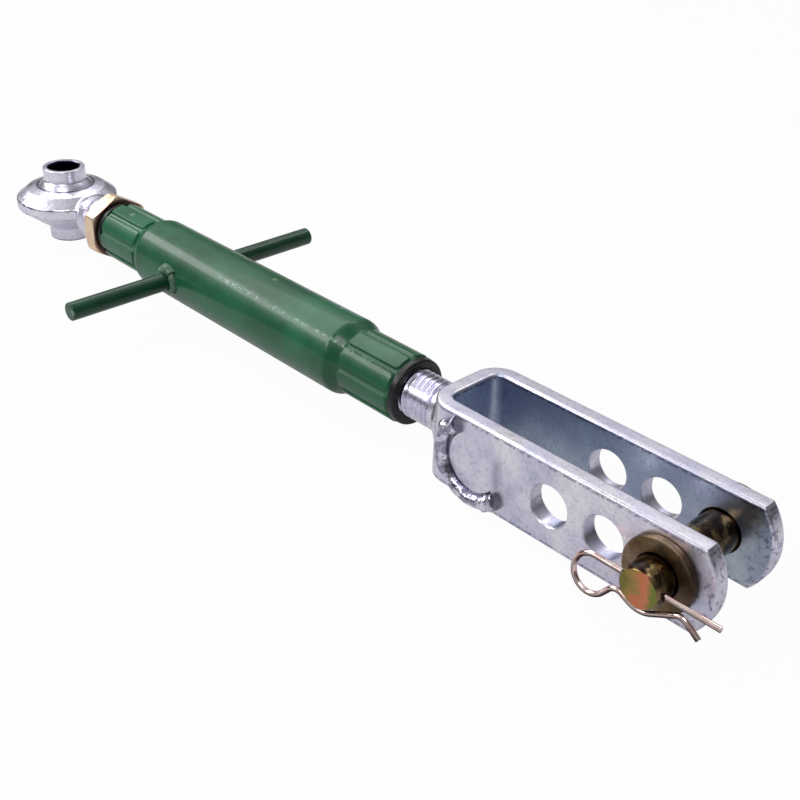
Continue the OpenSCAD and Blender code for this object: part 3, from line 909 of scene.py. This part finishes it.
carve(eye, spin("shoulder_tool", rounded(
    (SHOULDER_X, 0), (SHOULDER_X, FACING_R), (SHOULDER_X + FACING_L, FACING_R),
    (SHOULDER_X + FACING_L, 0),
)))
shank = threaded_rod("eye_shank", SHOULDER_X - 1, EYE_SHANK_END, hand=-1)
eye = gather("forged_eye_and_shank", eye, shank)
hand_over(eye, forged_zinc, "eye", "eye_end", crease_deg=40)

# %% [markdown]
# ## The locknut
# A nut is a hexagonal bar with both faces turned to a cone, which leaves the curved bevels at
# its corners. Here the outline that is spun changes with the angle: the radius follows the
# flats of the hexagon, and the bevel's depth follows from how far each corner stands out.

# %% Make the locknut
NUT_AF, BORE_R, BORE_BEVEL, CORNER_CUT = 36.0, THREAD_R + 0.05, 0.9, 0.5
NUT_T = NUT_TO - NUT_FROM
BEVEL_R = NUT_AF / 2 - 0.3


def nut_outline(angle):
    from_flat = (angle + math.pi / 6) % (math.pi / 3) - math.pi / 6
    hexagon = min(NUT_AF / 2 / math.cos(from_flat), NUT_AF / math.sqrt(3) - CORNER_CUT)
    bevel = (hexagon - BEVEL_R) * math.tan(math.radians(30))
    return [
        (0, BORE_R + BORE_BEVEL), (0, BEVEL_R), (bevel, hexagon), (NUT_T - bevel, hexagon),
        (NUT_T, BEVEL_R), (NUT_T, BORE_R + BORE_BEVEL), (NUT_T - BORE_BEVEL, BORE_R), (BORE_BEVEL, BORE_R),
    ]


locknut = spin("hexagon_locknut", nut_outline, at=(NUT_FROM, 0, 0), around=144)
rounding = locknut.modifiers.new("tumbled edges", "BEVEL")
rounding.width = 0.25 * MM
rounding.segments = 2
rounding.limit_method = "ANGLE"
rounding.angle_limit = math.radians(24)
settle(locknut)
hand_over(locknut, yellow_zinc, "locknut", "locknut")

# %% [markdown]
# ## The two bushes
# A threaded bush sits in each end of the barrel and carries the screw. Only its rounded
# collar shows. Both are one outline, spun from either end of the barrel inwards.

# %% Turn the bushes
NOSE, NOSE_R, NOSE_ROUND = 3.6, 16.65, 1.2
BUSH_L, BUSH_R, BUSH_LEAD = 41.0, 14.24, 0.8
bush_outline = rounded(
    (0, BORE_R + BUSH_LEAD, 0.3), (0, NOSE_R, NOSE_ROUND), (NOSE, NOSE_R), (NOSE, BUSH_R),
    (BUSH_L, BUSH_R, 0.6), (BUSH_L, BORE_R), (BUSH_LEAD, BORE_R),
)
for side, start, inwards in (("ball", BARREL_FROM, 1), ("fork", BARREL_TO, -1)):
    bush = spin(f"threaded_bush_{side}_side", bush_outline, axis=(inwards, 0, 0), at=(start, 0, 0))
    hand_over(bush, black_steel, f"{side}_bush", f"{side}_side_bush")

# %% [markdown]
# ## The barrel and its crimps
# The tube is swaged down at both ends and pressed onto the bushes by a ring of nine dies. Each
# die leaves a long pad, and the steel between two dies stays behind as a narrow groove. The
# pads repeat round the axis by a rule, so a node tree raises them from a plain spun tube. It
# works out how far a point lies inside the edge of its pad, as if the pad were a rectangle
# with rounded corners, and lifts the point by a height that rises softly from that edge.


# %% Build the crimping tree
def crimp_tree():
    w = Shaping("crimped_necks", {
        "Middle": 0.193, "Half length": 0.126, "Pads": 9, "Pad length": 0.036, "End gap": 0.0007,
        "Rise": 0.0013, "Groove width": 0.0016, "Neck radius": 0.0173, "Edge": 0.0009,
        "Corner": 0.0022, "Ball side turn": 83.0, "Fork side turn": 88.0, "Skin": 0.0151,
        "Material": None,
    }, modifies=True)
    given = w.given
    x, y, z = w.split(w.add("GeometryNodeInputPosition"))
    from_middle = x - given["Middle"]
    on_fork_side = w.math("GREATER_THAN", from_middle, 0.0)
    further = given["Fork side turn"] - given["Ball side turn"]
    turned = w.math("MULTIPLY_ADD", on_fork_side, further, given["Ball side turn"])
    # Distance from the nearest groove's middle, along the skin
    degrees = w.math("DEGREES", w.math("ARCTAN2", z, y))
    pads_on = (degrees - turned) / 360.0 * given["Pads"]
    share = abs(w.math("WRAP", pads_on, 0.5, -0.5))
    pad_arc = given["Neck radius"] * math.tau / given["Pads"]
    inside = share * pad_arc - given["Groove width"] / 2.0
    # Distance from the pad's nearer end, along the link
    from_end = given["Half length"] - abs(from_middle)
    within = w.least(from_end - given["End gap"], given["Pad length"] - from_end)
    # Distance inside a rectangle with rounded corners
    corner = given["Corner"]
    depth = corner - w.distance(w.most(corner - inside, 0.0), w.most(corner - within, 0.0))
    lift = w.spread(depth, 0.0, given["Edge"], 0.0, given["Rise"], interpolation_type="SMOOTHSTEP")
    outside = w.math("GREATER_THAN", w.distance(y, z), given["Skin"])
    away = w.add("ShaderNodeVectorMath", [w.join(0.0, y, z)], operation="NORMALIZE")
    return w.close(w.place_points(given["Geometry"], offset=w.scaled(away, lift * outside)))


crimped_necks = crimp_tree()

# %% [markdown]
# ## The tube itself
# The tube is spun with many narrow rings on its necks, so that the crimping tree has points
# to lift, and with few rings along its plain middle.

# %% Spin and crimp the barrel
CRIMP_R, GROOVE_BED_R, TUBE_WALL = 17.3, 16.0, 3.0
CRIMP_L, SWELL_L, SWELL_ROUND = 39.8, 6.5, 6.0
barrel_mid = (BARREL_FROM + BARREL_TO) / 2
half_tube = (TUBE_TO - TUBE_FROM) / 2
neck_from = (BARREL_TO - BARREL_FROM) / 2 - CRIMP_L
swell_from = neck_from - SWELL_L


def evenly(start, end, radius, count):
    """Points from start to end at one radius, both included."""
    return [Vector((start + (end - start) * k / count, radius)) for k in range(count + 1)]


outer_skin = evenly(0, swell_from - 8, TUBE_R, 8) + rounded(
    (swell_from - 3, TUBE_R), (swell_from, TUBE_R, SWELL_ROUND), (neck_from, GROOVE_BED_R, SWELL_ROUND),
    (neck_from + 2.5, GROOVE_BED_R), steps=8,
) + evenly(neck_from + 3, half_tube - 0.4, GROOVE_BED_R, 60)
inner_skin = rounded(
    (half_tube, GROOVE_BED_R - 0.4), (half_tube, CRIMP_R - TUBE_WALL), (neck_from, CRIMP_R - TUBE_WALL),
    (swell_from, TUBE_R - TUBE_WALL), (0, TUBE_R - TUBE_WALL),
)
half_outline = outer_skin + inner_skin
blank = spin(
    "barrel_blank", half_outline + mirrored(half_outline)[1:-1], at=(barrel_mid, 0, 0), around=360
)
barrel = run_group(
    "crimped_barrel", crimped_necks, blank, middle=barrel_mid * MM, half_length=half_tube * MM,
    pads=9, pad_length=(half_tube - neck_from) * MM, end_gap=0.65 * MM, rise=1.3 * MM,
    groove_width=1.6 * MM, neck_radius=CRIMP_R * MM, edge=0.9 * MM, corner=2.2 * MM,
    ball_side_turn=83.0, fork_side_turn=88.0, skin=15.1 * MM, material=green_enamel,
)
hand_over(barrel, green_enamel, "barrel", "barrel_tube", crease_deg=50)

# %% [markdown]
# ## Weld beads with Geometry Nodes
# A weld is a string of small frozen pools along a seam. The tree sweeps a round section along
# any seam, narrows it to a dome at open ends, then pushes the skin out and in with a ripple
# along the seam and a noise for spatter. The seam's own mesh gives the path, so one tree makes
# every weld on the link.


# %% Build the weld tree
def weld_tree():
    w = Shaping("weld_bead", {
        "Width": 0.004, "Ripple": 0.0003, "Ripple pitch": 0.0016, "Lumps": 0.0005, "Lump size": 0.003,
        "Seed": 1, "Round ends": 0.0, "Material": None,
    }, modifies=True)
    given = w.given
    seam = w.add("GeometryNodeMeshToCurve", [given["Geometry"]])
    even = w.add("GeometryNodeResampleCurve", {"Curve": seam, "Length": 0.0004}, mode="LENGTH")
    # How far along the seam a point lies is stored before the sweep, for the ripple
    capture = w.tree.nodes.new("GeometryNodeCaptureAttribute")
    capture.capture_items.new("FLOAT", "Run")
    run = w.add("GeometryNodeSplineParameter", out="Length")
    w.plug(even, capture.inputs["Geometry"])
    w.plug(run, capture.inputs["Run"])
    half_w = given["Width"] / 2.0
    to_end = w.least(run, w.add("GeometryNodeSplineLength") - run)
    near_end = w.past(to_end / half_w, 0.0, 1.0)
    dome = w.math("SQRT", near_end * (2.0 - near_end))
    girth = 1.0 + given["Round ends"] * (dome - 1.0)
    inputs = {"Curve": Signal(w, capture.outputs["Geometry"]), "Radius": girth}
    path = w.add("GeometryNodeSetCurveRadius", inputs)
    section = w.add("GeometryNodeCurvePrimitiveCircle", {"Resolution": 20, "Radius": half_w})
    inputs = {"Curve": path, "Profile Curve": section, "Fill Caps": True}
    swept = w.add("GeometryNodeCurveToMesh", inputs)
    run = Signal(w, capture.outputs["Run"])
    ripple = w.math("SINE", run / given["Ripple pitch"] * math.tau) * given["Ripple"]
    inputs = {"W": given["Seed"], "Scale": 1.0 / given["Lump size"], "Detail": 3.0}
    noise = w.add("ShaderNodeTexNoise", inputs, noise_dimensions="4D")
    lump = (noise - 0.5) * (given["Lumps"] * 2.0)
    offset = w.scaled(w.add("GeometryNodeInputNormal"), ripple + lump)
    return w.close(w.place_points(swept, offset=offset))


weld_bead = weld_tree()


def bead(
    name, points, width, lumps, lump_size, seed, material,
    ripple=0.0, pitch=2.0, closed=False, dome=0.0,
):
    """Lay a weld bead along a seam of points. Every length is in mm."""
    mesh = bmesh.new()
    corners = [mesh.verts.new(Vector(p) * MM) for p in points]
    for one, two in zip(corners, corners[1:] + corners[:1] if closed else corners[1:]):
        mesh.edges.new((one, two))
    return run_group(
        name, weld_bead, as_object("seam", mesh), width=width * MM, ripple=ripple * MM,
        ripple_pitch=pitch * MM, lumps=lumps * MM, lump_size=lump_size * MM, seed=seed,
        round_ends=dome, material=material,
    )


# %% [markdown]
# ## The cross handle
# Two rods stick out of the barrel like a capstan, each held by one weld round its foot. The
# foot is shaped to the tube, and the weld's seam is the saddle curve where a thin cylinder
# meets a thick one. The welder started and ended on top, which leaves a heavier blob there.

# %% Turn and weld the handle
HANDLE_WELD_W, WELD_OUT, TIP_CHAMFER = 4.5, 1.1, 0.8
SADDLE_STEPS = 72
BLOB_W, BLOB_OUT, BLOB_FROM, BLOB_TO = HANDLE_WELD_W + 1.4, 0.3, 10, 27


def saddle(radius, side):
    """The curve where a rod of this radius meets the tube, on the near (-1) or far (+1) side."""
    points = []
    for k in range(SADDLE_STEPS):
        turn = math.tau * k / SADDLE_STEPS
        up = radius * math.sin(turn)
        points.append((HANDLE_X + radius * math.cos(turn), side * math.sqrt(TUBE_R**2 - up**2), up))
    return points


tube_tool = rounded((-30, 0), (-30, TUBE_R), (30, TUBE_R), (30, 0))
for word, side in (("near", -1), ("far", 1)):
    rod = spin(f"handle_rod_{word}_painted", rounded(
        (0, 0), (0, ROD_R), (HANDLE_TIP, ROD_R, TIP_CHAMFER), (HANDLE_TIP, 0),
    ), axis=(0, side, 0), at=(HANDLE_X, 0, 0), around=64)
    carve(rod, spin("tube_tool", tube_tool, at=(HANDLE_X, 0, 0), around=192))
    hand_over(rod, rod_enamel, "barrel", f"handle_rod_{word}")
    ring = bead(
        "ring", saddle(ROD_R + WELD_OUT, side), HANDLE_WELD_W, lumps=1.4, lump_size=5, seed=3 + side,
        material=weld_enamel, ripple=0.12, pitch=2.4, closed=True,
    )
    top = saddle(ROD_R + WELD_OUT + BLOB_OUT, side)[BLOB_FROM:BLOB_TO]
    blob = bead(
        "blob", top, BLOB_W, lumps=1.6, lump_size=4, seed=7, material=weld_enamel, dome=1.0
    )
    weld = gather(f"handle_weld_{word}_bead", ring, blob)
    hand_over(weld, weld_enamel, "barrel", f"handle_weld_{word}", crease_deg=60)

# %% [markdown]
# ## The threaded stud
# The fork's screw is a threaded bar whose plain foot swells out to the fork's back. The foot
# is spun, the thread comes from the same tree as before, and a weld runs round the joint.

# %% Make the stud and its weld
FLARE_L, FOOT_R, UNDERCUT = 9.0, 14.5, 1.8
STUD_WELD_W, STUD_WELD_R = 2.6, FOOT_R + 0.5
flare_from = FORK_FROM - FLARE_L
foot = spin("stud_foot", rounded(
    (flare_from - 3, 0), (flare_from - 3, THREAD_R - UNDERCUT), (flare_from - 1.5, THREAD_R - UNDERCUT),
    (flare_from, THREAD_R, 1.0), (flare_from + 3.2, THREAD_R + 0.4, 3), (FORK_FROM - 2, FOOT_R, 2.5),
    (FORK_FROM, FOOT_R), (FORK_FROM, 0),
))
stud = gather("threaded_stud", foot, threaded_rod("stud_thread", STUD_FROM, flare_from, hand=1))
hand_over(stud, turned_zinc, "fork_body", "fork_stud", crease_deg=40)

foot_seam = []
for k in range(72):
    turn = math.tau * k / 72
    foot_seam.append((FORK_FROM - 0.3, STUD_WELD_R * math.cos(turn), STUD_WELD_R * math.sin(turn)))
stud_weld = bead(
    "stud_weld_bead", foot_seam, STUD_WELD_W, lumps=0.5, lump_size=3, seed=8, material=forged_zinc,
    ripple=0.12, pitch=2.1, closed=True,
)
hand_over(stud_weld, forged_zinc, "fork_body", "stud_weld", crease_deg=60)

# %% [markdown]
# ## The fork
# The fork starts as a flat bar, cropped to length with rounded tips and with its long edges
# softened by rolling. Its length follows from the U: a straight run counts as it is, and a
# bend counts along the middle of the bar, where steel neither stretches nor shortens. The
# soft edges are layers of one outline, each a little smaller towards the faces.

# %% Lay out the flat bar
EDGE_R, TIP_R = 1.5, 30.0
BEND_STEPS, EDGE_STEPS, TIP_STEPS = 14, 5, 24
bend_mid_r = BEND_IN_R + STRIP_T / 2
back_half = ARM_OUT - STRIP_T - BEND_IN_R
bend_l = math.pi / 2 * bend_mid_r
arm_l = FORK_TO - FORK_FROM - STRIP_T - BEND_IN_R
flat_half = back_half + bend_l + arm_l


def shrink(outline, by):
    """Move a convex outline inwards."""
    result = []
    for i, here in enumerate(outline):
        back = (here - outline[i - 1]).normalized()
        on = (outline[(i + 1) % len(outline)] - here).normalized()
        normal_a, normal_b = Vector((back.y, -back.x)), Vector((on.y, -on.x))
        middle = (normal_a + normal_b).normalized()
        result.append(here - middle * by / max(0.3, middle.dot(normal_a)))
    return result


widest = math.asin(STRIP_HALF_H / TIP_R)
tip_turns = [-widest + 2 * widest * k / TIP_STEPS for k in range(TIP_STEPS + 1)]
tip = [Vector((flat_half - TIP_R + TIP_R * math.cos(a), TIP_R * math.sin(a))) for a in tip_turns]
blank_edge = tip + mirrored(tip)
layers = []
for k in range(EDGE_STEPS + 1):
    a = math.pi / 2 * k / EDGE_STEPS
    layers.append((shrink(blank_edge, EDGE_R * (1 - math.sin(a))), EDGE_R * (1 - math.cos(a))))
layers += [(edge, STRIP_T - depth) for edge, depth in reversed(layers)]
print("flat bar would be", round(2 * flat_half, 1), "mm long")

# %% [markdown]
# ## Folding the bar
# A press folds the bar twice over a tool with round edges. The script slices the flat blank
# where it will bend, so that a bend has points to curve with, and then moves every point from
# its place along the flat bar to its place along the U.


# %% Fold the bar into a U
def fold(point):
    """Take a point of the flat bar (along, height, depth into the bar) to its place on the U."""
    along, height, depth = point
    run = abs(along)
    if run <= back_half:
        return Vector((FORK_FROM + depth, along, height))
    turn = min((run - back_half) / bend_mid_r, math.pi / 2)
    radius = BEND_IN_R + STRIP_T - depth
    x = FORK_FROM + STRIP_T + BEND_IN_R - radius * math.cos(turn)
    y = back_half + radius * math.sin(turn)
    return Vector((x + max(0, run - back_half - bend_l), math.copysign(y, along), height))


blank = bmesh.new()
rings = [[blank.verts.new((p.x, p.y, depth)) for p in edge] for edge, depth in layers]
for one, two in zip(rings, rings[1:]):
    for i in range(len(one)):
        n = (i + 1) % len(one)
        blank.faces.new((one[i], one[n], two[n], two[i]))
blank.faces.new(reversed(rings[0]))
blank.faces.new(rings[-1])
for k in range(BEND_STEPS + 1):
    for side in (-1, 1):
        at = side * (back_half + bend_l * k / BEND_STEPS)
        everything = blank.verts[:] + blank.edges[:] + blank.faces[:]
        bmesh.ops.bisect_plane(blank, geom=everything, plane_co=(at, 0, 0), plane_no=(1, 0, 0))
for vertex in blank.verts:
    vertex.co = fold(vertex.co) * MM
bmesh.ops.recalc_face_normals(blank, faces=blank.faces)
fork = as_object("folded_fork", blank)
print("the folded bar has", len(fork.data.polygons), "faces")

# %% [markdown]
# ## Holes and groove
# The three holes are drilled last, through both arms at once, and the drill's outline widens
# at each face to break the rim. The round groove on the near arm is cut with a weld bead as
# its tool, because a slightly uneven bead leaves the uneven bed that is wanted.

# %% Drill the fork and sink its groove
RIM, RUN_OUT = 0.5, 2.0
GROOVE_W, GROOVE_FROM, GROOVE_SWEEP = 1.9, 130, 190
SPOT_STEPS = 60

near_half = rounded(
    (-ARM_OUT - RUN_OUT, 0), (-ARM_OUT - RUN_OUT, HOLE_R + RIM + RUN_OUT), (-ARM_OUT, HOLE_R + RIM),
    (RIM - ARM_OUT, HOLE_R), (STRIP_T - ARM_OUT - RIM, HOLE_R), (STRIP_T - ARM_OUT, HOLE_R + RIM),
    (STRIP_T - ARM_OUT + RUN_OUT, HOLE_R + RIM + RUN_OUT),
)
drill_outline = near_half + mirrored(near_half)
for i in range(3):
    hole_x = PIN_X - i * HOLE_PITCH
    carve(fork, spin("drill", drill_outline, axis=(0, 1, 0), at=(hole_x, 0, 0)))


def arm_face(x):
    """How far the fork's outside lies from the middle plane at a place along the link."""
    bend_out = BEND_IN_R + STRIP_T
    into_bend = FORK_FROM + bend_out - x
    if into_bend <= 0:
        return ARM_OUT
    return ARM_OUT - bend_out + math.sqrt(max(0, bend_out**2 - into_bend**2))


def round_spot(radius, from_deg, sweep_deg):
    """Points on the near arm along a circle round its spot."""
    points = []
    for k in range(SPOT_STEPS + 1):
        turn = math.radians(from_deg + sweep_deg * k / SPOT_STEPS)
        x = SPOT_X + radius * math.cos(turn)
        points.append((x, -arm_face(x), radius * math.sin(turn)))
    return points


groove_path = round_spot(GROOVE_R, GROOVE_FROM, GROOVE_SWEEP)
groove = bead(
    "groove_tool", groove_path, GROOVE_W, lumps=0.15, lump_size=3, seed=2, material=rolled_zinc
)
carve(fork, groove)
hand_over(fork, rolled_zinc, "fork_body", "fork")

# %% [markdown]
# ## The weld on the fork's root
# Half a ring of weld stands outside the groove on the near arm, with a heavy start and a
# heavy end where the welder paused. It is the weld tree again, on a half circle that follows
# the face of the arm and the start of the bend.

# %% Lay the root weld
ROOT_WELD_R, ROOT_WELD_W, ROOT_FROM_DEG, ROOT_SWEEP = 18.4, 6.4, 135, 174
LUMP_W, LUMP_REACH_X, LUMP_REACH_Z, LUMP_OUT = 7.6, 3.4, 2.2, 0.3

root_path = round_spot(ROOT_WELD_R, ROOT_FROM_DEG, ROOT_SWEEP)
beads = [bead(
    "bead", root_path, ROOT_WELD_W, lumps=0.7, lump_size=9, seed=5, material=weld_zinc,
    ripple=0.03, pitch=2.6, dome=1.0,
)]
for x, _, z in (root_path[0], root_path[-1]):
    lump_path = []
    for share in (-1, -0.3, 0.3, 1):
        lump_path.append((x + share * LUMP_REACH_X, -arm_face(x) - LUMP_OUT, z + share * LUMP_REACH_Z))
    beads.append(bead(
        "lump", lump_path, LUMP_W, lumps=1.8, lump_size=3.2, seed=11, material=weld_zinc, dome=1.0
    ))
root_weld = gather("root_weld_bead", *beads)
hand_over(root_weld, weld_zinc, "fork_body", "root_weld", crease_deg=60)

# %% [markdown]
# ## Pin and washer
# The pin is turned, with a flat head behind the far arm and a hole drilled across its end. The
# cross drill's outline widens at the pin's skin, which breaks the edges of the hole so that
# they don't cut the wire. The washer is stamped, which leaves the rims of one face rounded,
# here the near one, and those of the other sharp.

# %% Turn the pin and stamp the washer
PIN_CHAMFER, HEAD_GAP, HEAD_CHAMFER, HEAD_RIM = 1.1, 0.3, 1.6, 1.0
CROSS_R, CROSS_RIM, CROSS_REACH = 1.55, 0.5, 15

head_face = ARM_OUT + HEAD_GAP
pin = spin("fork_pin_with_head", rounded(
    (PIN_END, 0), (PIN_END, PIN_R - PIN_CHAMFER, 0.4), (PIN_END + PIN_CHAMFER, PIN_R, 0.4),
    (head_face, PIN_R), (head_face, HEAD_R, 0.5), (PIN_HEAD - HEAD_RIM, HEAD_R, 0.8),
    (PIN_HEAD, HEAD_R - HEAD_CHAMFER, 1.0), (PIN_HEAD, 0),
), axis=(0, 1, 0), at=(PIN_X, 0, 0))
half_drill = rounded(
    (-CROSS_REACH, 0), (-CROSS_REACH, 6), (-PIN_R, CROSS_R + CROSS_RIM), (0.7 - PIN_R, CROSS_R)
)
cross_drill = half_drill + mirrored(half_drill)
carve(pin, spin("cross_drill", cross_drill, at=(PIN_X, CLIP_Y, 0), around=48))
hand_over(pin, dichromate, "pin", "fork_pin")

WASHER_HOLE_R = 9.5
washer_t = WASHER_Y[1] - WASHER_Y[0]
washer = spin("stamped_washer", rounded(
    (0, WASHER_HOLE_R + 0.1, 0.5), (0, WASHER_R, 1.0), (washer_t, WASHER_R, 0.25),
    (washer_t, WASHER_HOLE_R, 0.25),
), axis=(0, 1, 0), at=(PIN_X, WASHER_Y[0], 0), around=128)
hand_over(washer, washer_dichromate, "washer", "washer")

# %% [markdown]
# ## The hairpin clip
# The clip is one length of spring wire bent round pegs. Its straight leg goes through the pin
# and its wavy leg hugs the pin from outside. Between two pegs the wire runs straight, along
# the line that touches both, so its path is worked out from circles and shared tangents.

# %% Work out the wire's path
WIRE_R, LEG_REACH, LOOP_R, CREST_R = 1.25, 33.0, 8.3, 4.6
HUG_GAP, BEND_RUN, FLARE_RUN = 0.9, 0.6, 3.5
RISE_AT, FLARE_AT, TAIL_L, TAIL_TURN = 232.0, 333.0, 7.5, 57.0


def on_circle(middle, radius, degrees):
    turn = math.radians(degrees)
    return middle + radius * Vector((math.cos(turn), math.sin(turn)))


def crossing(one, one_r, two, two_r, side):
    """Direction, in degrees, in which the run that crosses to the next bend leaves this one."""
    between = two - one
    heading = math.degrees(math.atan2(between.y, between.x))
    return heading + side * math.degrees(math.acos((one_r + two_r) / between.length))


def bend(middle, radius, start, end, step=5):
    """Points along one bend of the wire, every few degrees."""
    count = max(2, math.ceil(abs(end - start) / step))
    return [on_circle(middle, radius, start + (end - start) * k / count) for k in range(count + 1)]


hug_r = PIN_R + WIRE_R + HUG_GAP
hug = Vector((0, 0))
rise = on_circle(hug, hug_r + CREST_R + BEND_RUN, RISE_AT)
flare = on_circle(hug, hug_r + CREST_R + FLARE_RUN, FLARE_AT)
loop_to_rise = math.sqrt((LOOP_R + CREST_R + BEND_RUN) ** 2 - (rise.y + LOOP_R) ** 2)
loop = Vector((rise.x - loop_to_rise, -LOOP_R))
loop_out = crossing(loop, LOOP_R, rise, CREST_R, -1)
hug_in = crossing(rise, CREST_R, hug, hug_r, 1)
hug_out = crossing(hug, hug_r, flare, CREST_R, -1)
wire_path = [Vector((LEG_REACH, 0)), Vector((0, 0))]
wire_path += bend(loop, LOOP_R, 90, 360 + loop_out)
wire_path += bend(rise, CREST_R, loop_out + 180, hug_in)
wire_path += bend(hug, hug_r, hug_in + 180, 360 + hug_out)
wire_path += bend(flare, CREST_R, hug_out + 180, TAIL_TURN)
wire_path.append(wire_path[-1] + on_circle(Vector((0, 0)), TAIL_L, TAIL_TURN - 90))
print("the wire's path has", len(wire_path), "points")

# %% [markdown]
# ## Bending the clip
# A curve with a round section follows the path, and the clip leans a little about its
# straight leg, as it hangs in use. The wire's underside is painted dark as shade. That
# side is marked point by point on the mesh, and the copper finish reads the mark.

# %% Bend the hairpin clip
LEAN = math.radians(8)
# The wire's painted shade is darkest where its skin faces down and a little to the near side.
SHADE_FACING = Vector((0, -0.35, -1))
SHADE_BASE, SHADE_GAIN = 0.15, 2

curve = bpy.data.curves.new("wire", "CURVE")
curve.dimensions = "3D"
curve.bevel_depth = WIRE_R * MM
curve.bevel_resolution = 6
curve.use_fill_caps = True
spline = curve.splines.new("POLY")
spline.points.add(len(wire_path) - 1)
for point, (x, z) in zip(spline.points, wire_path):
    point.co = ((PIN_X + x) * MM, (CLIP_Y + z * math.sin(LEAN)) * MM, z * math.cos(LEAN) * MM, 1)
wire = bpy.data.objects.new("wire", curve)
bpy.context.scene.collection.objects.link(wire)
graph = bpy.context.evaluated_depsgraph_get()
swept = bpy.data.meshes.new_from_object(wire.evaluated_get(graph))
clip = bpy.data.objects.new("bent_hairpin_clip", swept)
bpy.context.scene.collection.objects.link(clip)
bpy.data.objects.remove(wire)
outwards(clip, near_mm=0.001)
underside = clip.data.attributes.new("underside", "FLOAT", "POINT")
for vertex, mark in zip(clip.data.vertices, underside.data):
    # The share of painted shade grows as a point faces down.
    mark.value = min(1, max(0, SHADE_BASE + SHADE_GAIN * vertex.normal.dot(SHADE_FACING)))
hand_over(clip, copper_wash, "clip", "hairpin_clip", crease_deg=50)

# %% [markdown]
# ## The floor
# The link lies on a plain white sheet that reaches far out in all directions. The camera sees
# it as nearly white and almost without shadow, like a page of a catalogue. A mirrored ray
# sees it dimmer, because metal over a glowing floor would look flat.

# %% Lay the floor
WHITE_SEEN, WHITE_MIRRORED = 0.97, 0.35
FLOOR_Z = min(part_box(node)[0].z for node in frame["nodes"]) - 0.5 * MM
FLOOR_HALF, FLOOR_MIDDLE_X = 6, 0.25

floor_mesh = bmesh.new()
bmesh.ops.create_grid(floor_mesh, x_segments=1, y_segments=1, size=FLOOR_HALF)
floor_mesh.transform(Matrix.Translation((FLOOR_MIDDLE_X, 0, FLOOR_Z)))
floor = as_object("floor", floor_mesh)
paper = bpy.data.materials.new("white_paper")
paper.use_nodes = True
paper.node_tree.nodes.clear()
w = Wiring(paper.node_tree)
ray = w.outputs("ShaderNodeLightPath")
diffuse = w.add("ShaderNodeBsdfDiffuse", {"Color": (0.52, 0.52, 0.54, 1)})
glow = w.add("ShaderNodeEmission", {"Color": (1, 1, 1, 1), "Strength": 1.0})
mirrored_ray = w.most(ray["Is Glossy Ray"], ray["Is Transmission Ray"])
share = w.most(ray["Is Camera Ray"] * WHITE_SEEN, mirrored_ray * WHITE_MIRRORED)
mixed = w.add("ShaderNodeMixShader", [share, diffuse, glow])
w.plug(mixed, w.tree.nodes.new("ShaderNodeOutputMaterial").inputs[0])
floor.data.materials.append(paper)
print("floor at", round(FLOOR_Z / MM, 1), "mm")

# %% [markdown]
# ## The lamps
# Metal shows what stands around it, so four big soft lamps hang above and to the sides. Each
# is placed by its heading and its height angle, as seen from the link's middle.


# %% Hang the lamps
MIDDLE = (0.23, 0, 0)


def softbox(name, at, size, watts):
    """A rectangular lamp that points at the link's middle."""
    light = bpy.data.lights.new(name, "AREA")
    light.shape = "RECTANGLE"
    light.size, light.size_y = size
    light.energy = watts
    lamp = bpy.data.objects.new(name, light)
    bpy.context.scene.collection.objects.link(lamp)
    lamp.location = at
    lamp.rotation_euler = (Vector(MIDDLE) - Vector(at)).to_track_quat("-Z", "Y").to_euler()


def towards(heading, climb, distance):
    """A point seen from the link's middle at this heading and height angle, in degrees and metres."""
    turn, rise = math.radians(heading), math.radians(climb)
    level = distance * math.cos(rise)
    return (MIDDLE[0] + level * math.cos(turn), level * math.sin(turn), distance * math.sin(rise))


softbox("key_softbox", towards(220, 34, 1.3), (1.3, 0.26), 7)
softbox("sky_softbox", towards(170, 52, 1.5), (1.5, 0.6), 6.5)
softbox("back_softbox", towards(100, 54, 1.4), (0.5, 0.35), 1.5)
softbox("near_softbox", towards(300, 55, 1.5), (0.6, 0.5), 6)

# %% [markdown]
# ## The world
# The world is white to the camera. To the link it is dark near the horizon, with a brighter
# dome above that is strongest on the ball's side. The dark band draws the metal's edges.

# %% Light the world
SKY_MIRRORED = 0.12

world = bpy.data.worlds.new("studio")
bpy.context.scene.world = world
world.use_nodes = True
w = Wiring(world.node_tree)
background = world.node_tree.nodes["Background"]
background.inputs["Color"].default_value = (0.97, 0.98, 1.0, 1)
east, _, height = w.split(w.add("ShaderNodeTexCoord", out="Generated"))
climb = w.spread(height, 0.16, 0.50, 0.03, 0.55, interpolation_type="SMOOTHSTEP")
side = w.spread(east, -0.1, 0.6, 1.0, 0.35)
ray = w.outputs("ShaderNodeLightPath")
mirrored_ray = w.most(ray["Is Glossy Ray"], ray["Is Transmission Ray"])
seen = w.most(ray["Is Camera Ray"], mirrored_ray * SKY_MIRRORED)
w.plug(w.most(climb * side, seen), background.inputs["Strength"])
bpy.context.scene.view_settings.view_transform = "Standard"
print("world:", world.name)
